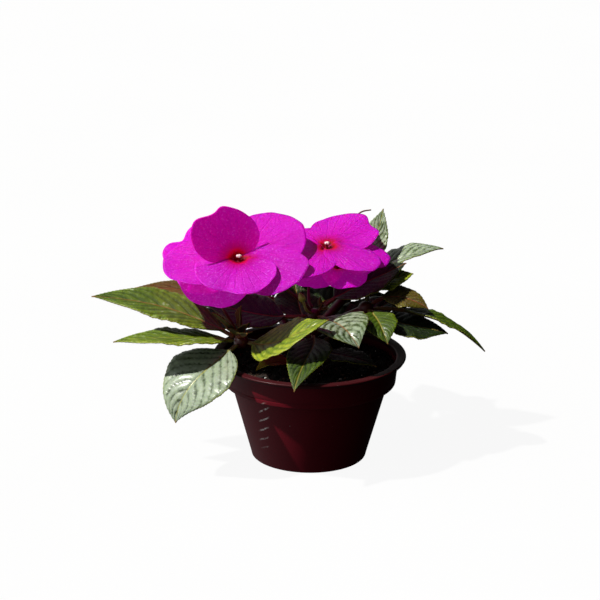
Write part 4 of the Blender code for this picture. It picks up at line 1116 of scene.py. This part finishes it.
def make_withered_leaf(skin):
    """A small dry leaf, let down until it rests on the soil."""
    base = np.array((*WITHERED_FOOT, 60.0))
    tip = np.array((*WITHERED_TIP, 60.0))
    azimuth = math.degrees(math.atan2(tip[1] - base[1], tip[0] - base[0]))
    spine = leaf_spine(base, direction(azimuth - 20, 20), tip, direction(azimuth + 14, -14))
    shells = Shells()
    add_leaf(shells, spine, roll=(-26, 6), width=12.0, fold=30, petiole=0.1, tint=(0.5, 0.5, 0.0), phase=0.0,
             size=0.6, quilt=0.25, wave=0.8)
    points = shells.points[0]
    drop = min(p[2] - soil_height(p[0], p[1]) for p in points) - 0.2
    points[:, 2] -= drop
    return shells.finish("withered_leaf", skin)


def arc(centre, radius, start, end, count):
    """Points of a profile's rounded corner: centre (radius, height), angles in degrees."""
    return [(centre[0] + radius * math.cos(math.radians(a)), centre[1] + radius * math.sin(math.radians(a)))
            for a in np.linspace(start, end, count)]


def pot_profile():
    """The pot's cut from the axis inside, up to the lip, and down its outer side to the axis."""
    inside = [
        (0.0, BASE_THICKNESS),
        (BASE_RADIUS - WALL, BASE_THICKNESS),
        (BODY_FOOT_RADIUS - WALL, 3.6),
        (BODY_TOP_RADIUS - WALL, COLLAR_FOOT_HEIGHT - 1.0),
        (BODY_TOP_RADIUS - 0.3, COLLAR_FOOT_HEIGHT),
        (COLLAR_FOOT_RADIUS - WALL, COLLAR_FOOT_HEIGHT + 0.8),
        (COLLAR_TOP_RADIUS - WALL, POT_HEIGHT - 1.2),
    ]
    lip = arc((COLLAR_TOP_RADIUS - WALL + 1.2, POT_HEIGHT - 1.2), 1.1, 180, 92, 6)
    lip += arc((LIP_RADIUS - 0.7, POT_HEIGHT - 0.7), 0.7, 88, -60, 9)
    lip += [(LIP_RADIUS - 0.5, POT_HEIGHT - 1.7), (COLLAR_TOP_RADIUS + 1.6, POT_HEIGHT - 1.9)]
    lip += arc((COLLAR_TOP_RADIUS + 1.5, POT_HEIGHT - 3.3), 1.3, 90, 175, 6)
    taper = (COLLAR_TOP_RADIUS - COLLAR_FOOT_RADIUS) / (POT_HEIGHT - 3.3 - COLLAR_FOOT_HEIGHT)
    collar = []
    for height, proud in ((48.2, 0.0), (45.6, 0.0), (45.3, -0.16), (45.0, 0.0), (44.6, 0.06)):
        collar.append((COLLAR_FOOT_RADIUS + taper * (height - COLLAR_FOOT_HEIGHT) + proud, height))
    collar += arc((COLLAR_FOOT_RADIUS - 0.75, COLLAR_FOOT_HEIGHT + 0.3), 0.8, 10, -85, 7)
    collar += [(BODY_TOP_RADIUS + 1.0, COLLAR_FOOT_HEIGHT - 0.55)]
    collar += arc((BODY_TOP_RADIUS + 0.9, COLLAR_FOOT_HEIGHT - 1.5), 0.9, 95, 175, 5)
    body = [
        (BODY_TOP_RADIUS - 0.05, COLLAR_FOOT_HEIGHT - 3.2),
        (BODY_FOOT_RADIUS + 0.1, 3.3),
        (BODY_FOOT_RADIUS - 0.25, 1.9),
    ]
    foot = arc((BASE_RADIUS + 0.5, 1.0), 1.0, -5, -90, 6)
    return inside + lip + collar + body + foot + [(0.0, 0.0)]


def lathe(name, profile, steps, material):
    """A body turned about Z from a closed profile."""
    mesh = bpy.data.meshes.new(name)
    edges = [(i, i + 1) for i in range(len(profile) - 1)]
    mesh.from_pydata([(r * MM, 0.0, z * MM) for r, z in profile], edges, [])
    thing = bpy.data.objects.new(name, mesh)
    bpy.context.scene.collection.objects.link(thing)
    screw = thing.modifiers.new("turn", "SCREW")
    screw.steps = steps
    screw.render_steps = steps
    screw.use_merge_vertices = True
    screw.merge_threshold = 0.00001
    used_up(thing)
    work = bmesh.new()
    work.from_mesh(thing.data)
    bmesh.ops.remove_doubles(work, verts=work.verts, dist=0.00001)
    bmesh.ops.recalc_face_normals(work, faces=work.faces)
    work.to_mesh(thing.data)
    work.free()
    thing.data.materials.clear()
    thing.data.materials.append(material)
    return thing


def used_up(thing):
    """Turns the object's modifiers into its mesh."""
    bpy.context.view_layer.update()
    done = thing.evaluated_get(bpy.context.evaluated_depsgraph_get())
    mesh = bpy.data.meshes.new_from_object(done)
    thing.modifiers.clear()
    thing.data = mesh
    return thing


def make_pot(plastic):
    """The pot's turned shell with its drain holes cut."""
    pot = lathe("pot", pot_profile(), POT_STEPS, plastic)
    cutters = []
    for k in range(DRAIN_HOLES):
        angle = math.radians(k * 360.0 / DRAIN_HOLES + DRAIN_TURN)
        mesh = bpy.data.meshes.new("drain")
        work = bmesh.new()
        bmesh.ops.create_cone(work, cap_ends=True, segments=32, radius1=DRAIN_RADIUS * MM,
                              radius2=DRAIN_RADIUS * MM, depth=DRAIN_CUT * MM)
        work.to_mesh(mesh)
        work.free()
        cutter = bpy.data.objects.new(f"drain_{k}", mesh)
        cutter.location = (DRAIN_CIRCLE * math.cos(angle) * MM, DRAIN_CIRCLE * math.sin(angle) * MM, 0.0)
        bpy.context.scene.collection.objects.link(cutter)
        cut = pot.modifiers.new("drain", "BOOLEAN")
        cut.operation = "DIFFERENCE"
        cut.object = cutter
        cutters.append(cutter)
    used_up(pot)
    for cutter in cutters:
        bpy.data.objects.remove(cutter, do_unlink=True)
    pot.data.shade_smooth()
    pot.data.set_sharp_from_angle(angle=math.radians(SHARP_ANGLE))
    return pot


def make_soil(mix):
    """The soil: a fine lumpy top on the plain sides that the pot gives it."""
    share = (SOIL_EDGE_HEIGHT - COLLAR_FOOT_HEIGHT) / (POT_HEIGHT - COLLAR_FOOT_HEIGHT)
    edge = COLLAR_FOOT_RADIUS + (COLLAR_TOP_RADIUS - COLLAR_FOOT_RADIUS) * share - WALL - 2 * GAP
    sides = [
        (0.0, BASE_THICKNESS + GAP),
        (BASE_RADIUS - WALL - GAP, BASE_THICKNESS + GAP),
        (BODY_FOOT_RADIUS - WALL - GAP, 3.9),
        (BODY_TOP_RADIUS - WALL - GAP, COLLAR_FOOT_HEIGHT - 0.7),
        (BODY_TOP_RADIUS - 0.6, COLLAR_FOOT_HEIGHT + 0.3),
        (COLLAR_FOOT_RADIUS - WALL - GAP, COLLAR_FOOT_HEIGHT + 1.1),
    ]
    top = [(edge * (1.0 - k / SOIL_RINGS), SOIL_EDGE_HEIGHT) for k in range(SOIL_RINGS + 1)]
    soil = lathe("soil", sides + top, SOIL_STEPS, mix)
    for vertex in soil.data.vertices:
        x, y, z = vertex.co / MM
        if z > SOIL_EDGE_HEIGHT - 0.1 and math.hypot(x, y) < edge - 0.3:
            rough = (0.35 * math.sin(1.9 * x + 0.7 * y) * math.cos(1.3 * y - 0.8 * x)
                     + 0.28 * math.sin(3.1 * x - 2.3 * y + 1.0) + 0.2 * math.cos(4.3 * y + 1.7 * x))
            vertex.co.z = (soil_height(x, y) + rough) * MM
    soil.data.shade_smooth()
    return soil


class Growth:
    """A Geometry Nodes tree under construction."""

    def __init__(self, name):
        self.tree = bpy.data.node_groups.new(name, "GeometryNodeTree")
        self.tree.interface.new_socket("Geometry", in_out="INPUT", socket_type="NodeSocketGeometry")
        self.tree.interface.new_socket("Geometry", in_out="OUTPUT", socket_type="NodeSocketGeometry")
        self.inputs = {}
        self.values = []

    def ask(self, name, kind, value):
        """Adds a named input of the tree."""
        socket = self.tree.interface.new_socket(name, in_out="INPUT", socket_type=kind)
        self.values.append((socket.identifier, value))
        self.inputs[name] = len(self.values)

    def start(self):
        self.entry = self.tree.nodes.new("NodeGroupInput")
        return self.entry.outputs[0]

    def asked(self, name):
        return self.entry.outputs[self.inputs[name]]

    def node(self, kind, values=None, output=0, **settings):
        node = self.tree.nodes.new(kind)
        for name, value in settings.items():
            setattr(node, name, value)
        for name, value in (values or {}).items():
            socket = node.inputs[name]
            if isinstance(value, bpy.types.NodeSocket):
                self.tree.links.new(value, socket)
            else:
                socket.default_value = value
        return node.outputs[output]

    def end(self, geometry):
        leave = self.tree.nodes.new("NodeGroupOutput")
        self.tree.links.new(geometry, leave.inputs[0])

    def grow(self, thing):
        """Runs the tree on an object and leaves a plain mesh."""
        modifier = thing.modifiers.new(self.tree.name, "NODES")
        modifier.node_group = self.tree
        for identifier, value in self.values:
            modifier[identifier] = value
        return used_up(thing)


def scatter(name, ground, strewn, material):
    """Small lumps strewn over the ground's top by a seeded tree."""
    count, small, large, seed, cuts = strewn
    g = Growth(name)
    g.ask("Count per square metre", "NodeSocketFloat", count / (math.pi * (STREWN_RADIUS * MM) ** 2))
    g.ask("Smallest", "NodeSocketFloat", small * MM)
    g.ask("Largest", "NodeSocketFloat", large * MM)
    g.ask("Seed", "NodeSocketInt", seed)
    ground_in = g.start()
    points = g.node("GeometryNodeDistributePointsOnFaces", {"Mesh": ground_in, "Seed": g.asked("Seed"),
                                                            "Density": g.asked("Count per square metre")})
    lump = g.node("GeometryNodeMeshIcoSphere", {"Radius": 1.0, "Subdivisions": cuts})
    turned = g.node("FunctionNodeRandomValue", {"Min": (0.0, 0.0, 0.0), "Max": (6.28, 6.28, 6.28),
                                                "Seed": g.asked("Seed")}, 0, data_type="FLOAT_VECTOR")
    stretch = g.node("FunctionNodeRandomValue", {"Min": (0.55, 0.55, 0.35), "Max": (1.45, 1.0, 0.8),
                                                 "Seed": 7}, 0, data_type="FLOAT_VECTOR")
    pick = g.node("FunctionNodeRandomValue", {2: 0.0, 3: 1.0, "Seed": 11}, 1, data_type="FLOAT")
    skew = g.node("ShaderNodeMath", {0: pick, 1: 2.4}, operation="POWER")
    size = g.node("ShaderNodeMapRange", {"Value": skew, "To Min": g.asked("Smallest"),
                                         "To Max": g.asked("Largest")})
    scale = g.node("ShaderNodeVectorMath", {0: stretch, "Scale": size}, operation="SCALE")
    lumps = g.node("GeometryNodeInstanceOnPoints", {"Points": points, "Instance": lump, "Rotation": turned,
                                                    "Scale": scale})
    own = g.node("FunctionNodeRandomValue", {2: 0.0, 3: 1.0, "Seed": 19}, 1, data_type="FLOAT")
    named = g.node("GeometryNodeStoreNamedAttribute", {"Geometry": lumps, "Name": "own_tone", "Value": own},
                   data_type="FLOAT", domain="INSTANCE")
    real = g.node("GeometryNodeRealizeInstances", {"Geometry": named})
    place = g.node("GeometryNodeInputPosition")
    rough = g.node("ShaderNodeTexNoise", {"Vector": place, "Scale": 0.9 / (large * MM), "Detail": 2.0},
                   "Color")
    centred = g.node("ShaderNodeVectorMath", {0: rough, 1: (0.5, 0.5, 0.5)}, operation="SUBTRACT")
    push = g.node("ShaderNodeVectorMath", {0: centred, "Scale": 0.9 * large * MM * CRUMPLE},
                  operation="SCALE")
    crumpled = g.node("GeometryNodeSetPosition", {"Geometry": real, "Offset": push})
    painted = g.node("GeometryNodeSetMaterial", {"Geometry": crumpled, "Material": material})
    g.end(painted)
    thing = bpy.data.objects.new(name, ground.data.copy())
    bpy.context.scene.collection.objects.link(thing)
    g.grow(thing)
    return thing


def soil_top(soil):
    """The part of the soil's mesh that crumbs can lie on."""
    work = bmesh.new()
    work.from_mesh(soil.data)
    away = [face for face in work.faces
            if face.normal.z < 0.3 or face.calc_center_median().z < (SOIL_EDGE_HEIGHT - 1.5) * MM
            or face.calc_center_median().xy.length < STEM_CLEARING * MM]
    bmesh.ops.delete(work, geom=away, context="FACES")
    mesh = bpy.data.meshes.new("soil_top")
    work.to_mesh(mesh)
    work.free()
    thing = bpy.data.objects.new("soil_top", mesh)
    bpy.context.scene.collection.objects.link(thing)
    return thing


def hand_over(thing, slot, *nodes):
    """Gives a finished piece its body and hides the solids that it stands for; its slot is not used."""
    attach(thing, BODY)
    if nodes:
        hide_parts(*nodes)


def camera_axes():
    """The photograph's camera: its place and its right, up and forward directions."""
    focal = RIM_HALF_PIXELS / LIP_RADIUS * CAMERA_DISTANCE
    place = np.array((0.0, -CAMERA_DISTANCE * math.cos(CAMERA_ELEVATION),
                      POT_HEIGHT + CAMERA_DISTANCE * math.sin(CAMERA_ELEVATION)))
    pitch = CAMERA_ELEVATION - math.atan((RIM_PIXEL[1] - IMAGE_SIZE / 2) / focal)
    yaw = math.atan((RIM_PIXEL[0] - IMAGE_SIZE / 2) / focal)
    forward = np.array((-math.sin(yaw) * math.cos(pitch), math.cos(yaw) * math.cos(pitch), -math.sin(pitch)))
    right = unit(np.cross(forward, (0.0, 0.0, 1.0)))
    up = np.cross(right, forward)
    c, s = math.cos(CAMERA_ROLL), math.sin(CAMERA_ROLL)
    return focal, place, right * c + up * s, up * c - right * s, forward


def make_camera():
    focal, place, right, up, forward = camera_axes()
    camera = bpy.data.objects.new("camera", bpy.data.cameras.new("camera"))
    bpy.context.scene.collection.objects.link(camera)
    camera.data.sensor_width = SENSOR_WIDTH
    camera.data.angle = 2.0 * math.atan(IMAGE_SIZE / 2 / focal)
    camera.data.clip_start = 0.05
    camera.data.clip_end = 20.0
    rows = [(right[k], up[k], -forward[k], place[k] * MM) for k in range(3)]
    camera.matrix_world = Matrix((*rows, (0.0, 0.0, 0.0, 1.0)))
    bpy.context.scene.camera = camera


def make_light(name, kind, towards, energy, gloss_only=False, **settings):
    lamp = bpy.data.objects.new(name, bpy.data.lights.new(name, kind))
    bpy.context.scene.collection.objects.link(lamp)
    lamp.data.energy = energy
    for key, value in settings.items():
        setattr(lamp.data, key, value)
    way = Vector(towards).normalized()
    lamp.location = way * LAMP_DISTANCE + Vector((0.0, 0.0, LAMP_AIM_HEIGHT))
    lamp.rotation_euler = way.to_track_quat("Z", "Y").to_euler()
    lamp.visible_diffuse = not gloss_only
    lamp.visible_camera = False


def make_sky():
    """A pale sky that fades from the left to the right."""
    world = bpy.data.worlds.new("studio")
    bpy.context.scene.world = world
    world.use_nodes = True
    tree = world.node_tree
    sky = tree.nodes["Background"]
    sky.inputs["Color"].default_value = SKY_COLOUR
    place = tree.nodes.new("ShaderNodeTexCoord")
    split = tree.nodes.new("ShaderNodeSeparateXYZ")
    fall = tree.nodes.new("ShaderNodeMapRange")
    fall.inputs["From Min"].default_value = -1.0
    fall.inputs["To Min"].default_value = SKY_STRENGTH ** (1.0 / SKY_FALL)
    fall.inputs["To Max"].default_value = SKY_DARK_SIDE ** (1.0 / SKY_FALL)
    power = tree.nodes.new("ShaderNodeMath")
    power.operation = "POWER"
    power.inputs[1].default_value = SKY_FALL
    tree.links.new(place.outputs["Generated"], split.inputs[0])
    tree.links.new(split.outputs["X"], fall.inputs["Value"])
    tree.links.new(fall.outputs["Result"], power.inputs[0])
    tree.links.new(power.outputs[0], sky.inputs["Strength"])


def make_studio():
    make_sky()
    make_light("key", "SUN", KEY_DIRECTION, KEY_STRENGTH, angle=KEY_ANGLE, color=KEY_COLOUR)
    for name, towards, strength, size in SHEENS:
        make_light(name, "AREA", towards, strength, True, size=size)
    bpy.ops.mesh.primitive_plane_add(size=FLOOR_SIZE, location=(0.0, 0.0, -FLOOR_DROP))
    floor = bpy.context.object
    floor.name = "floor"
    floor.data.materials.append(floor_paint())
    floor.visible_diffuse = False
    floor.visible_glossy = False
    bpy.context.scene.view_settings.view_transform = "Standard"


def build():
    leaf = leaf_skin()
    petal = petal_skin()
    stem = stem_skin()
    bud = bud_skin()
    throat = throat_skin()
    anther = anther_skin()
    for k, row in enumerate(LEAVES):
        hand_over(make_leaf(row, k * 1.3, leaf), "leaf_skin", row.name)
    for knot, azimuth, elevation, size in SHOOT_TIPS:
        hand_over(make_shoot_tip(knot, azimuth, elevation, size, leaf), "young_skin", f"shoot_tip_{knot}")
    for k, bloom in enumerate(BLOOMS):
        hand_over(make_petals(bloom, k * 2.1, petal), "petal_skin", f"{bloom.name}_petals")
        hand_over(make_throat(bloom, throat), "petal_skin")
        hand_over(make_anthers(bloom, anther), "anther_skin", f"{bloom.name}_anthers")
        hand_over(make_pedicel(bloom, stem), "stem_skin", f"{bloom.name}_pedicel")
    for name, knot, points, length in BUDS:
        hand_over(make_bud(name, knot, points, length, bud), "petal_skin", name)
    hand_over(make_withered_leaf(withered_skin()), "withered_skin", "withered_leaf")
    hand_over(make_stem(stem), "stem_skin", "branched_stem")
    hand_over(make_pot(pot_plastic()), "pot_plastic", "pot")
    soil = make_soil(soil_mix())
    top = soil_top(soil)
    crumbs = scatter("soil_crumbs", top, CRUMBS, crumb_mix())
    grains = scatter("white_grains", top, GRAINS, grain_white())
    bpy.data.objects.remove(top, do_unlink=True)
    hand_over(soil, "soil_mix", "soil")
    hand_over(crumbs, "soil_mix")
    hand_over(grains, "soil_mix")


build()
make_camera()
make_studio()
